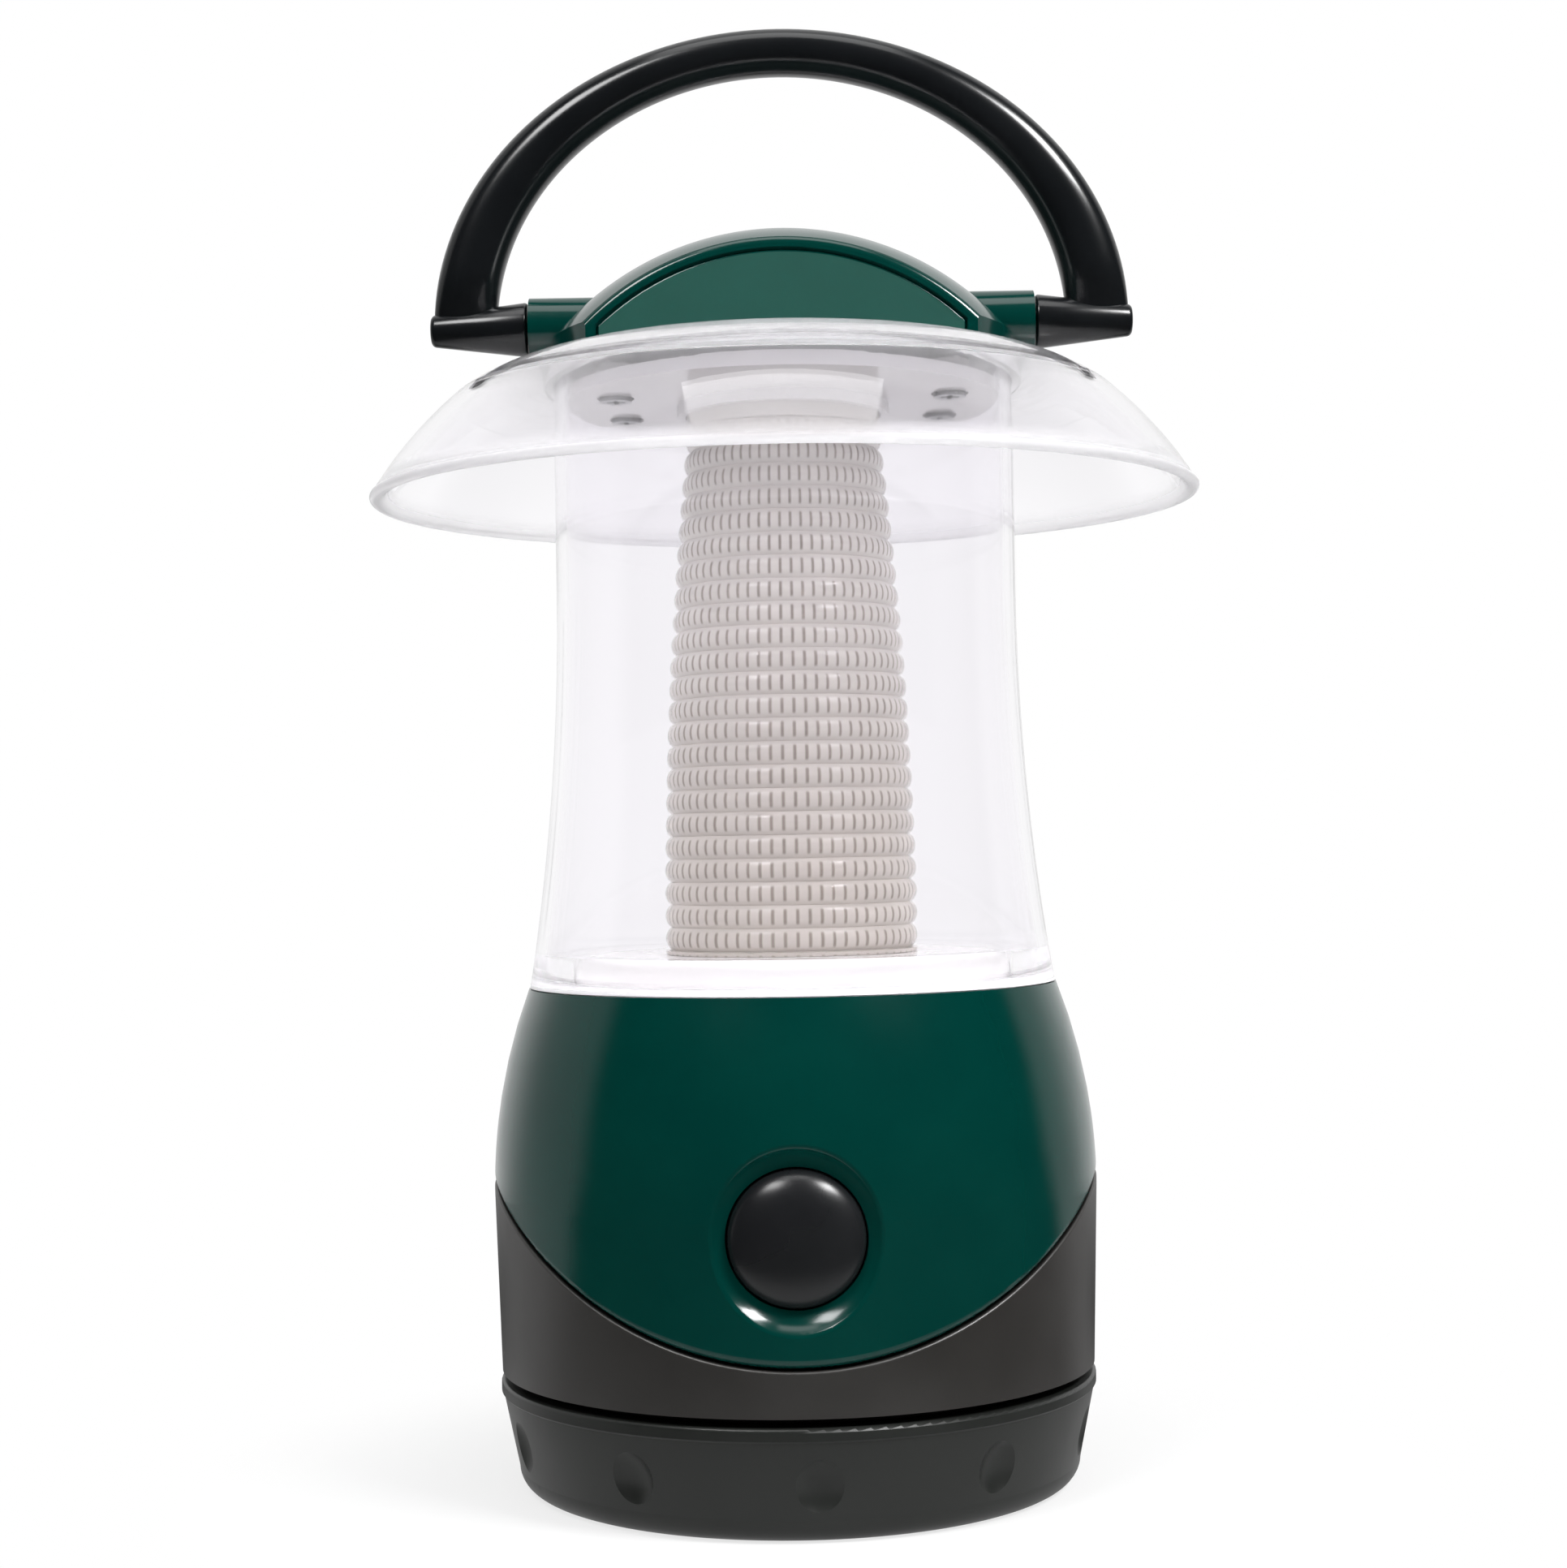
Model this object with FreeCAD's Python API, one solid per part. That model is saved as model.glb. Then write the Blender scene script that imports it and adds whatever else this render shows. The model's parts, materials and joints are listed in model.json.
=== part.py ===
import FreeCAD, Part
import math
import os

# Camping lantern in millimetres: +Z is up, the push button faces -Y, the handle turns about X.
# The origin is the centre of the foot, on the ground.

# Clearances
FIT = 0.15
SEAT_GAP = 0.2
RUN_GAP = 0.4
TAP_GAP = 0.05

# Three standard D cells side by side
CELL_R = 16.6
CELL_L = 60.0
CELL_EDGE = 0.8
NUB_R = 4.9
NUB_H = 1.8
BACK_DEG = 90.0

# Battery tray
BAY_GAP = 0.6
BAY_WEB = 1.3
TRAY_WALL = 1.5
TRAY_TOP_T = 1.8
TRAY_LIFT = 3.6
TRAY_ROOM = 2.25
TRAY_CORE_R = 5.0

# Battery contacts and springs
CONTACT_T = 0.4
CONTACT_R = 8.0
STRAP_W = 7.0
TAB_W = 3.0
SPRING_H = 4.4
SPRING_R = 6.0
SPRING_WIRE_R = 0.45
SPRING_TURNS = 3
STRIP_W = 5.0
STRIP_T = 0.5

# Base cap
CAP_H = 18.2
FLOOR_T = 2.4
FOOT_RECESS = 1.0
FOOT_INSET = 6.6
FOOT_ROUND = 3.8
FOOT_RIM_W = 6.0
LIP_STEP = 0.2
LIP_ROUND = 0.6
LIP_BAND_H = 1.9
LIP_BAND_OUT = 0.35
SPIGOT_WALL = 2.0
FLUTE_COUNT = 10
FLUTE_R = 6.5
FLUTE_HALF_L = 7.5
FLUTE_DEPTH = 1.3
FLUTE_Z = 9.2
FLUTE_FIRST_DEG = -86.5
CARRIER_T = 1.8
CARRIER_BOSS_R = 4.0
KEY_W = 3.0
KEY_L = 5.0
KEY_GRIP = 8.0
KEY_GAP = 0.6

# Quick thread of the base cap: lugs on the spigot ride on ribs in the housing
THREAD_ROOM = 1.8
THREAD_GAP = 0.3
LEAD = 30.0
TURN_DEG = 60.0
LUG_SPAN_DEG = 24.0
RIB_T = 1.8
LUG_T = 1.8
RIB_RISE = 1.6
SPIGOT_EDGE = 0.9
STARTS = 3
STEP_DEG = 6.0

# Seal in the groove between base cap and body
SEAM = 1.4
SEAL_W = 2.6

# Housing shells
BODY_WALL = 2.4
SLEEVE_WALL = 1.5
BODY_DRAFT = 0.8
WAIST_H = 29.4
BARREL_R = 94.0
RIM_H = 3.1
DECK_T = 2.2
ARC_R = 62.8
ARC_RISE = 7.3
PART_LINE = 0.4
GREEN_ROUND = 1.4
GREY_ROUND = 0.4
LEDGE_T = 2.2
LEDGE_GAP = 0.5
LEDGE_TAB_R = 5.5
POST_R = 3.0
POST_DEGS = (30.0, 150.0, 230.0, 310.0)

# Push button and its dished seat
BUTTON_Z = 46.4
BUTTON_R = 10.5
BUTTON_GAP = 0.35
BUTTON_PROUD = 1.1
BUTTON_CROWN_R = 20.0
BUTTON_EDGE_R = 2.4
BUTTON_TRAVEL = 2.5
BUTTON_SKIN = 4.6
BUTTON_POST_R = 2.2
FLANGE_T = 1.4
FLANGE_W = 1.9
DISH_BOWL_W = 3.8
DISH_BOWL_DEPTH = 3.0
DISH_BOWL_SAG = 0.35
DISH_RIM_ROUND = 0.8
PAD_R = 17.0

# Switch behind the button
BRACKET_T = 1.6
BRACKET_X = 16.0
BRACKET_END = 3.0
BRACKET_H = 10.0
SWITCH_W = 12.0
SWITCH_H = 13.0
SWITCH_L = 10.0
PLUNGER_R = 1.9
PLUNGER_IN = 3.0
BUTTON_SPRING_R = 5.4
BUTTON_SPRING_TURNS = 3
WIRE_R = 0.8
WIRE_X = 4.5
WIRE_INSET = 1.4

# Lamp board, lamps and lower reflector
BOARD_R = 24.6
BOARD_T = 1.6
BOARD_LIFT = 1.2
BOARD_SCREW_PCR = 21.0
BOARD_SCREW_DEGS = (0.0, 120.0, 240.0)
DECK_MARGIN = 2.4
REFLECTOR_WALL = 1.8
REFLECTOR_H = 8.2
REFLECTOR_ROUND = 3.6
REFLECTOR_BOSS_R = 2.6
DECK_SCREW_PCR = 31.0
LAMP_R = 2.5
LAMP_BASE_R = 2.9
LAMP_BASE_H = 1.0
LAMP_H = 5.8
LAMP_RING_R = 9.0
LAMP_COUNT = 6

# Globe
GLOBE_R = 38.4
GLOBE_WALL = 1.8
GLOBE_H = 102.2
GLOBE_FLARE_Z = 148.0
GLOBE_RIM_INSET = 0.2
FLANGE_H = 5.4
FOOT_RING_W = 6.8
LUG_W = 4.0
LUG_OUT = 1.2
LUG_H = 1.6

# Diffuser
DIFF_R = 21.1
DIFF_TOP_R = 16.1
DIFF_WALL = 1.7
DIFF_TONGUE_T = 1.5
RIB_COUNT = 23
RIB_DEPTH = 0.7
DIFF_COLLAR_H = 4.0
DIFF_FOOT_H = 0.8

# Upper reflector and shade
PLATE_T = 2.0
PLATE_DROP = 3.6
SOCKET_WALL = 1.5
SOCKET_H = 1.8
PLATE_POST_R = 3.2
PLATE_HEAD_SINK = 1.0
CAP_SCREW_PCR = 29.0
CAP_SCREW_DEGS = (-20.0, 20.0, 160.0, 200.0)
SHADE_T = 2.0
SHADE_FLAT_R = 33.0
SHADE_RIM_R = 68.4
SHADE_DROP = 24.0
SHADE_EDGE = 1.5
SHADE_RIM_LEAN = 20.0
# Points along the bell: share of the reach, share of the drop, lean of the surface in degrees
SHADE_BELL = ((0.0, 0.0, 0), (0.34, 0.084, 17), (0.61, 0.293, 33), (0.82, 0.618, 47), (1.0, 1.0, 60))
LOCATE_W = 1.5
LOCATE_H = 2.4

# Top cap
DOME_R = 50.0
DOME_RISE = 20.8
CAP_R = 38.6
CAP_FLAT_Y = 22.5
CAP_WALL = 2.4
CAP_LIP_W = 1.3
CAP_GROOVE_W = 0.6
CAP_GROOVE_DEPTH = 0.8
CAP_PANEL_SINK = 0.3
CAP_PANEL_ROUND = 0.35
CAP_EDGE_ROUND = 1.3
BOSS_R = 5.2
BOSS_OUT = 42.2
BOSS_IN = 28.0
PIVOT_LIFT = 5.6
PIVOT_BORE_R = 2.6
PIVOT_BORE_L = 10.0

# Handle
ARCH_X = 58.3
ARCH_Z = 49.6
ARCH_LEG_W = 10.6
ARCH_TOP_T = 7.6
ARCH_DEPTH = 8.8
ARCH_ROUND = 2.4
PIVOT_R = 4.55
PIVOT_TIP_R = 2.5
PIVOT_TIP_OUT = 0.5
PIVOT_TIP_ROUND = 0.8
PIVOT_PIN_R = 2.4
PIVOT_PIN_L = 9.0
PIVOT_GAP = 0.3

# Screws
SCREW_R = 1.5
SCREW_HEAD_R = 2.6
SCREW_HEAD_H = 1.6
SCREW_HOLE_R = 1.8
SLOT_W = 0.8
SLOT_DEPTH = 0.7
BITE = 6.0
CARRIER_HEAD_R = 5.6

ORIGIN = FreeCAD.Vector(0, 0, 0)
X_AXIS = FreeCAD.Vector(1, 0, 0)
Y_AXIS = FreeCAD.Vector(0, 1, 0)
UP = FreeCAD.Vector(0, 0, 1)
DOWN = FreeCAD.Vector(0, 0, -1)
FRONT = FreeCAD.Vector(0, -1, 0)

# Directions of the cells and of the three gaps between them
LEFT_DEG = BACK_DEG + 120
RIGHT_DEG = BACK_DEG - 120
STRIP_DEG = BACK_DEG - 60
KEY_DEGS = (BACK_DEG + 60, BACK_DEG + 180)
CELL_DEGS = (LEFT_DEG, BACK_DEG, RIGHT_DEG)
GAP_DEGS = (STRIP_DEG, *KEY_DEGS)

# Radii that follow from the cells outwards
BAY_R = CELL_R + BAY_GAP
LOBE_R = BAY_R + TRAY_WALL
CELL_PCR = (2 * BAY_R + BAY_WEB) / math.sqrt(3)
TRAY_R = CELL_PCR + LOBE_R
SPIGOT_IN_R = TRAY_R + TRAY_ROOM
SPIGOT_R = SPIGOT_IN_R + SPIGOT_WALL
SLEEVE_IN_R = SPIGOT_R + THREAD_ROOM
SLEEVE_INSET = BODY_WALL + FIT
BODY_FOOT_R = SLEEVE_IN_R + SLEEVE_WALL + SLEEVE_INSET
BODY_R = BODY_FOOT_R + BODY_DRAFT
LIP_R = BODY_FOOT_R + LIP_STEP
FOOT_R = LIP_R - FOOT_INSET
CARRIER_R = SPIGOT_IN_R - RUN_GAP
POST_PCR = SLEEVE_IN_R - POST_R
STRIP_R = BOARD_R
DECK_HOLE_R = BOARD_R + DECK_MARGIN

# Heights that follow from the ground upwards
FLOOR_Z = FOOT_RECESS + FLOOR_T
CARRIER_Z = FLOOR_Z + RUN_GAP
CONTACT_Z = CARRIER_Z + CARRIER_T
SPRING_Z = CONTACT_Z + CONTACT_T
CELL_Z = SPRING_Z + SPRING_H
CELL_TOP_Z = CELL_Z + CELL_L
TOP_CONTACT_Z = CELL_TOP_Z + SPRING_H
TRAY_Z = CELL_Z + TRAY_LIFT
TRAY_TOP_Z = TOP_CONTACT_Z + CONTACT_T
DECK_Z = TRAY_TOP_Z + TRAY_TOP_T + SEAT_GAP
DECK_TOP_Z = DECK_Z + DECK_T
BODY_Z = CAP_H + SEAM
BODY_TOP_Z = DECK_TOP_Z + RIM_H
WAIST_Z = BODY_Z + WAIST_H
ARC_Z = BODY_Z + ARC_RISE + ARC_R
RIB_Z = BODY_Z + RIB_RISE
LUG_Z = RIB_Z + RIB_T + THREAD_GAP
SPIGOT_TOP_Z = LUG_Z + LEAD * TURN_DEG / 360 + LUG_T + SPIGOT_EDGE
LEDGE_Z = SPIGOT_TOP_Z + SCREW_HEAD_H + RUN_GAP
SLEEVE_TOP_Z = LEDGE_Z + LEDGE_T
BOARD_Z = DECK_TOP_Z + BOARD_LIFT
BOARD_TOP_Z = BOARD_Z + BOARD_T
REFLECTOR_Z = DECK_TOP_Z + REFLECTOR_H
GLOBE_Z = BODY_TOP_Z + SEAT_GAP
GLOBE_TOP_Z = GLOBE_Z + GLOBE_H
CEILING_Z = GLOBE_TOP_Z + SEAT_GAP
SHADE_TOP_Z = CEILING_Z + SHADE_T
PLATE_TOP_Z = CEILING_Z - PLATE_DROP
PLATE_Z = PLATE_TOP_Z - PLATE_T
DIFF_Z = REFLECTOR_Z + TAP_GAP
DIFF_TOP_Z = PLATE_Z - SEAT_GAP
DIFF_RIB_TOP_Z = DIFF_TOP_Z - DIFF_COLLAR_H
CAP_Z = SHADE_TOP_Z + SEAT_GAP
DOME_Z = CAP_Z + DOME_RISE - DOME_R
PIVOT_Z = CAP_Z + PIVOT_LIFT

# Depths behind the button, measured forwards from the axis of the lantern
FLANGE_FRONT = SLEEVE_IN_R - RUN_GAP
FLANGE_BACK = FLANGE_FRONT - FLANGE_T
BRACKET_FRONT = FLANGE_BACK - BUTTON_TRAVEL - RUN_GAP
BRACKET_BACK = BRACKET_FRONT - BRACKET_T
SWITCH_BACK = BRACKET_BACK - SWITCH_L
WIRE_Y = SWITCH_BACK + WIRE_INSET
WIRE_BEND = (WIRE_Y - BOARD_R) / 2
BUTTON_FRONT = BODY_R + BUTTON_PROUD
BUTTON_CAVITY = BUTTON_FRONT - BUTTON_SKIN
BUTTON_HOLE_R = BUTTON_R + BUTTON_GAP
FLANGE_R = BUTTON_R + FLANGE_W


def vec(x, y, z):
    return FreeCAD.Vector(x, y, z)


def polar(radius, degrees, z):
    angle = math.radians(degrees)
    return vec(radius * math.cos(angle), radius * math.sin(angle), z)


def outline(start, *steps):
    # Closed face in the X-Z plane: a step is a point, or a pair (point on the arc, end point)
    edges = []
    here = vec(start[0], 0, start[1])
    first = here
    for step in steps:
        if isinstance(step[0], tuple):
            middle = vec(step[0][0], 0, step[0][1])
            there = vec(step[1][0], 0, step[1][1])
            edges.append(Part.Arc(here, middle, there).toShape())
        else:
            there = vec(step[0], 0, step[1])
            edges.append(Part.LineSegment(here, there).toShape())
        here = there
    if (here - first).Length > 1e-6:
        edges.append(Part.LineSegment(here, first).toShape())
    return Part.Face(Part.Wire(edges))


def lathe(start, *steps):
    return outline(start, *steps).revolve(ORIGIN, UP, 360)


def ring(r_in, r_out, z, height):
    return lathe((r_in, z), (r_out, z), (r_out, z + height), (r_in, z + height))


def cylinder(radius, height, at, axis=UP):
    return Part.makeCylinder(radius, height, at, axis)


def slab(x0, x1, y0, y1, z0, z1):
    return Part.makeBox(x1 - x0, y1 - y0, z1 - z0, vec(x0, y0, z0))


def join(first, *others):
    return first.fuse(list(others)).removeSplitter()


def to_front(shape):
    # Turns a shape drawn about Z so that its top faces forwards at the height of the button
    turned = shape.copy()
    turned.rotate(ORIGIN, X_AXIS, 90)
    turned.translate(vec(0, 0, BUTTON_Z))
    return turned


def round_between(a, b, corner):
    # Arc step that rounds the right-angled corner between a and b
    share = 1 - math.sqrt(0.5)
    middle = (
        corner[0] + (a[0] - corner[0] + b[0] - corner[0]) * share,
        corner[1] + (a[1] - corner[1] + b[1] - corner[1]) * share,
    )
    return (middle, b)


def screw(at, axis, length, head_r=SCREW_HEAD_R):
    # Pan-head screw with its head's seat at the given point, driven along the axis, crossed on top
    shank = cylinder(SCREW_R, length, vec(0, 0, -length))
    head = cylinder(head_r, SCREW_HEAD_H, ORIGIN)
    body = join(shank, head)
    reach = 2 * SCREW_R
    low = SCREW_HEAD_H - SLOT_DEPTH
    for turn in (0, 90):
        slot = slab(-reach / 2, reach / 2, -SLOT_W / 2, SLOT_W / 2, low, SCREW_HEAD_H + SLOT_DEPTH)
        slot.rotate(ORIGIN, UP, turn)
        body = body.cut(slot)
    body.Placement = FreeCAD.Placement(at, FreeCAD.Rotation(DOWN, axis))
    return body


def strap(p, q, width, z, height, margin=0):
    # Flat bar with square ends from p to q
    run = vec(q.x - p.x, q.y - p.y, 0)
    bar = slab(-margin, run.Length + margin, -width / 2 - margin, width / 2 + margin, z - margin, z + height)
    bar.rotate(ORIGIN, UP, math.degrees(math.atan2(run.y, run.x)))
    bar.translate(vec(p.x, p.y, 0))
    return bar


def arc_edge(start, control, end):
    # Circular arc that leaves start towards control and reaches end, both the same distance away
    chord = (start + end) * 0.5
    rise = control - chord
    half = (end - start).Length / 2
    sag = half * math.tan(math.atan2(rise.Length, half) / 2)
    middle = chord + rise * (sag / rise.Length)
    return Part.Arc(start, middle, end).toShape()


def coil(radius, wire_r, height, turns):
    # Compression spring standing on z = 0, each quarter turn a pair of tangent arcs
    climb = (height - 2 * wire_r) / (2 * math.pi * turns)
    count = 4 * turns
    edges = []

    def point(angle):
        return vec(radius * math.cos(angle), radius * math.sin(angle), wire_r + climb * angle)

    def heading(angle):
        way = vec(-radius * math.sin(angle), radius * math.cos(angle), climb)
        return way * (1 / way.Length)

    for i in range(count):
        a = i * math.pi / 2
        b = a + math.pi / 2
        p, q = point(a), point(b)
        s, t = heading(a), heading(b)
        gap = q - p
        both = s + t
        spread = 2 * (1 - s.dot(t))
        reach = (-gap.dot(both) + math.sqrt(gap.dot(both) ** 2 + spread * gap.dot(gap))) / spread
        c, d = p + s * reach, q - t * reach
        meet = (c + d) * 0.5
        edges.append(arc_edge(p, c, meet))
        edges.append(arc_edge(meet, d, q))
    section = Part.Wire(Part.Circle(point(0), heading(0), wire_r).toShape())
    return Part.Wire(edges).makePipeShell([section], True, False)


def helical_bar(r_in, r_out, z, height, start_deg, span_deg):
    # Bar of square section that climbs anticlockwise about Z at the thread's lead
    steps = int(math.ceil(span_deg / STEP_DEG))
    sections = []
    for i in range(steps + 1):
        turn = span_deg * i / steps
        low = z + LEAD * turn / 360
        high = low + height
        degrees = start_deg + turn
        corners = [polar(r_in, degrees, low), polar(r_out, degrees, low)]
        corners += [polar(r_out, degrees, high), polar(r_in, degrees, high)]
        sections.append(Part.makePolygon(corners + corners[:1]))
    return Part.makeLoft(sections, True, True)


def barrel_r(z):
    # Outer radius of the housing above its waist
    return BODY_R - BARREL_R + math.sqrt(BARREL_R ** 2 - (z - WAIST_Z) ** 2)


def body_solid(inset):
    # Outer form of the housing, drawn in by the inset
    middle_z = (WAIST_Z + BODY_TOP_Z) / 2
    middle = (barrel_r(middle_z) - inset, middle_z)
    top = (barrel_r(BODY_TOP_Z) - inset, BODY_TOP_Z)
    foot = (BODY_FOOT_R - inset, BODY_Z)
    waist = (BODY_R - inset, WAIST_Z)
    return lathe((0, BODY_Z), foot, waist, (middle, top), (0, BODY_TOP_Z))


def parting(radius):
    # Cylinder along Y whose lower side is the arc between the green and the grey shell
    return cylinder(radius, 4 * BODY_R, vec(0, -2 * BODY_R, ARC_Z), Y_AXIS)


def edge_points(edge):
    # Five points along an edge, or none along the vanishing edge at a pole
    if edge.Degenerated:
        return [ORIGIN]
    return edge.discretize(5)


def outer_edges(shape, radius):
    # Edges of the shape on the parting cylinder and on the outer surface of the housing
    found = []
    for edge in shape.Edges:
        points = edge_points(edge)
        on_arc = all(abs(math.hypot(p.x, p.z - ARC_Z) - radius) < 1e-3 for p in points)
        outside = all(math.hypot(p.x, p.y) > BODY_FOOT_R - BODY_WALL / 2 for p in points)
        if on_arc and outside:
            found.append(edge)
    return found


def cell_at(degrees, z=0):
    return polar(CELL_PCR, degrees, z)


def base_cap():
    lip = (LIP_R - LIP_ROUND, CAP_H)
    lip_side = (LIP_R, CAP_H - LIP_ROUND)
    band = (LIP_R, CAP_H - LIP_BAND_H)
    wall_top = (LIP_R - LIP_BAND_OUT, CAP_H - LIP_BAND_H - LIP_BAND_OUT)
    foot = (FOOT_R, 0)
    foot_side = (FOOT_R + FOOT_ROUND, FOOT_ROUND)
    rim = FOOT_R - FOOT_RIM_W
    body = lathe(
        (0, FOOT_RECESS),
        (rim - FOOT_RECESS, FOOT_RECESS),
        (rim, 0),
        foot,
        round_between(foot, foot_side, (FOOT_R + FOOT_ROUND, 0)),
        wall_top,
        band,
        lip_side,
        round_between(lip_side, lip, (LIP_R, CAP_H)),
        (SPIGOT_R, CAP_H),
        (SPIGOT_R, SPIGOT_TOP_Z),
        (SPIGOT_IN_R, SPIGOT_TOP_Z),
        (SPIGOT_IN_R, FLOOR_Z),
        (0, FLOOR_Z),
    )
    boss = cylinder(CARRIER_BOSS_R, CARRIER_T + 2 * RUN_GAP, vec(0, 0, FLOOR_Z))
    lugs = []
    for i in range(STARTS):
        start = 360 * i / STARTS + TURN_DEG - LUG_SPAN_DEG
        climb = LEAD * (TURN_DEG - LUG_SPAN_DEG) / 360
        inner, outer = SPIGOT_R - SPIGOT_WALL / 2, SLEEVE_IN_R - THREAD_GAP
        lugs.append(helical_bar(inner, outer, LUG_Z + climb, LUG_T, start, LUG_SPAN_DEG))
    body = join(body, boss, *lugs)
    lean = math.atan2(wall_top[0] - foot_side[0], wall_top[1] - foot_side[1])
    wall_r = foot_side[0] + (FLUTE_Z - foot_side[1]) * math.tan(lean)
    scoop = lathe((0, -FLUTE_HALF_L), ((FLUTE_R, 0), (0, FLUTE_HALF_L)))
    scoop.rotate(ORIGIN, Y_AXIS, math.degrees(lean))
    out = FLUTE_R - FLUTE_DEPTH
    scoop.translate(vec(wall_r + out * math.cos(lean), 0, FLUTE_Z - out * math.sin(lean)))
    flutes = []
    for i in range(FLUTE_COUNT):
        flute = scoop.copy()
        flute.rotate(ORIGIN, UP, FLUTE_FIRST_DEG + 360 * i / FLUTE_COUNT)
        flutes.append(flute)
    depth = CARRIER_T + 2 * RUN_GAP
    return body.cut(flutes).cut(cylinder(SCREW_R + TAP_GAP, depth, vec(0, 0, FLOOR_Z)))


def base_seal():
    inner = SPIGOT_R + SEAT_GAP
    low, high = CAP_H + TAP_GAP, BODY_Z - SEAT_GAP
    middle = (low + high) / 2
    outer = inner + SEAL_W
    bulge = outer - (high - low) / 2
    return lathe((inner, low), (bulge, low), ((outer, middle), (bulge, high)), (inner, high))


def key_inner_r():
    # Where a key of the carrier fits between two lobes of the tray
    side = CELL_PCR * math.sin(math.pi / 3) - KEY_W / 2
    return CELL_PCR / 2 + math.sqrt((LOBE_R + KEY_GAP) ** 2 - side ** 2)


def contact_carrier():
    disc = ring(CARRIER_BOSS_R + RUN_GAP, CARRIER_R, CARRIER_Z, CARRIER_T)
    keys = []
    inner = key_inner_r()
    for degrees in KEY_DEGS:
        key = slab(inner, inner + KEY_L, -KEY_W / 2, KEY_W / 2, CARRIER_Z, TRAY_Z + KEY_GRIP)
        key.rotate(ORIGIN, UP, degrees)
        keys.append(key)
    return join(disc, *keys)


def contact_disc(degrees, z):
    return cylinder(CONTACT_R, CONTACT_T, cell_at(degrees, z))


def base_contacts():
    bridge = join(
        contact_disc(LEFT_DEG, CONTACT_Z),
        contact_disc(BACK_DEG, CONTACT_Z),
        strap(cell_at(LEFT_DEG), cell_at(BACK_DEG), STRAP_W, CONTACT_Z, CONTACT_T),
        cylinder(NUB_R, CONTACT_T + SPRING_H, cell_at(BACK_DEG, CONTACT_Z)),
    )
    single = join(
        contact_disc(RIGHT_DEG, CONTACT_Z),
        strap(cell_at(RIGHT_DEG), polar(STRIP_R, STRIP_DEG, 0), STRIP_W, CONTACT_Z, CONTACT_T),
    )
    return [bridge, single]


def cell_spring(degrees, z):
    spring = coil(SPRING_R, SPRING_WIRE_R, SPRING_H, SPRING_TURNS)
    spring.translate(cell_at(degrees, z))
    return spring


def battery_cell(degrees, nub_up):
    can = CELL_L - NUB_H
    low, high = (CELL_R - CELL_EDGE, 0), (CELL_R - CELL_EDGE, can)
    low_side, high_side = (CELL_R, CELL_EDGE), (CELL_R, can - CELL_EDGE)
    cell = lathe(
        (0, 0),
        low,
        round_between(low, low_side, (CELL_R, 0)),
        high_side,
        round_between(high_side, high, (CELL_R, can)),
        (NUB_R, can),
        (NUB_R, CELL_L),
        (0, CELL_L),
    )
    if nub_up:
        cell.translate(cell_at(degrees, CELL_Z))
    else:
        cell.rotate(ORIGIN, X_AXIS, 180)
        cell.translate(cell_at(degrees, CELL_TOP_Z))
    return cell


def tab_end():
    return vec(-WIRE_X, -WIRE_Y, 0)


def tray_straps(margin):
    return [
        strap(cell_at(LEFT_DEG), tab_end(), TAB_W, TOP_CONTACT_Z, CONTACT_T, margin),
        strap(cell_at(BACK_DEG), cell_at(RIGHT_DEG), STRAP_W, TOP_CONTACT_Z, CONTACT_T, margin),
    ]


def tray_contacts():
    tab, bar = tray_straps(0)
    tab = join(tab, cylinder(TAB_W / 2, CONTACT_T, tab_end() + vec(0, 0, TOP_CONTACT_Z)))
    post_h = SPRING_H + CONTACT_T
    single = join(
        contact_disc(LEFT_DEG, TOP_CONTACT_Z),
        tab,
        cylinder(NUB_R, post_h, cell_at(LEFT_DEG, CELL_TOP_Z)),
    )
    bridge = join(
        contact_disc(BACK_DEG, TOP_CONTACT_Z),
        contact_disc(RIGHT_DEG, TOP_CONTACT_Z),
        bar,
        cylinder(NUB_R, post_h, cell_at(RIGHT_DEG, CELL_TOP_Z)),
    )
    return [single, bridge]


def strip_bar(margin, z, top_z):
    half = STRIP_W / 2 + margin
    bar = slab(STRIP_R - margin, STRIP_R + STRIP_T + margin, -half, half, z, top_z)
    bar.rotate(ORIGIN, UP, STRIP_DEG)
    return bar


def return_strip():
    return strip_bar(0, SPRING_Z + RUN_GAP, BOARD_TOP_Z)


def battery_tray():
    height = TRAY_TOP_Z - TRAY_Z
    lobes = [cylinder(LOBE_R, height, cell_at(d, TRAY_Z)) for d in CELL_DEGS]
    core = cylinder(TRAY_CORE_R, height, vec(0, 0, TRAY_Z))
    top = cylinder(POST_PCR - POST_R - LEDGE_GAP, TRAY_TOP_T, vec(0, 0, TRAY_TOP_Z))
    tray = join(core, top, *lobes)
    cuts = [cylinder(BAY_R, height, cell_at(d, TRAY_Z)) for d in CELL_DEGS]
    cuts += tray_straps(SEAT_GAP)
    cuts.append(cylinder(TAB_W / 2 + SEAT_GAP, CONTACT_T, tab_end() + vec(0, 0, TOP_CONTACT_Z)))
    cuts.append(strip_bar(SEAT_GAP, TRAY_TOP_Z - TRAY_TOP_T, DECK_Z))
    cuts.append(cylinder(2 * WIRE_R, TRAY_TOP_T, vec(WIRE_X, -WIRE_Y, TRAY_TOP_Z)))
    for degrees in GAP_DEGS:
        cuts.append(cylinder(SCREW_HOLE_R, TRAY_TOP_T, polar(DECK_SCREW_PCR, degrees, TRAY_TOP_Z)))
    for degrees in CELL_DEGS:
        cuts.append(cylinder(SCREW_HEAD_R + RUN_GAP, TRAY_TOP_T, polar(DECK_SCREW_PCR, degrees, TRAY_TOP_Z)))
    return tray.cut(cuts)


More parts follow.
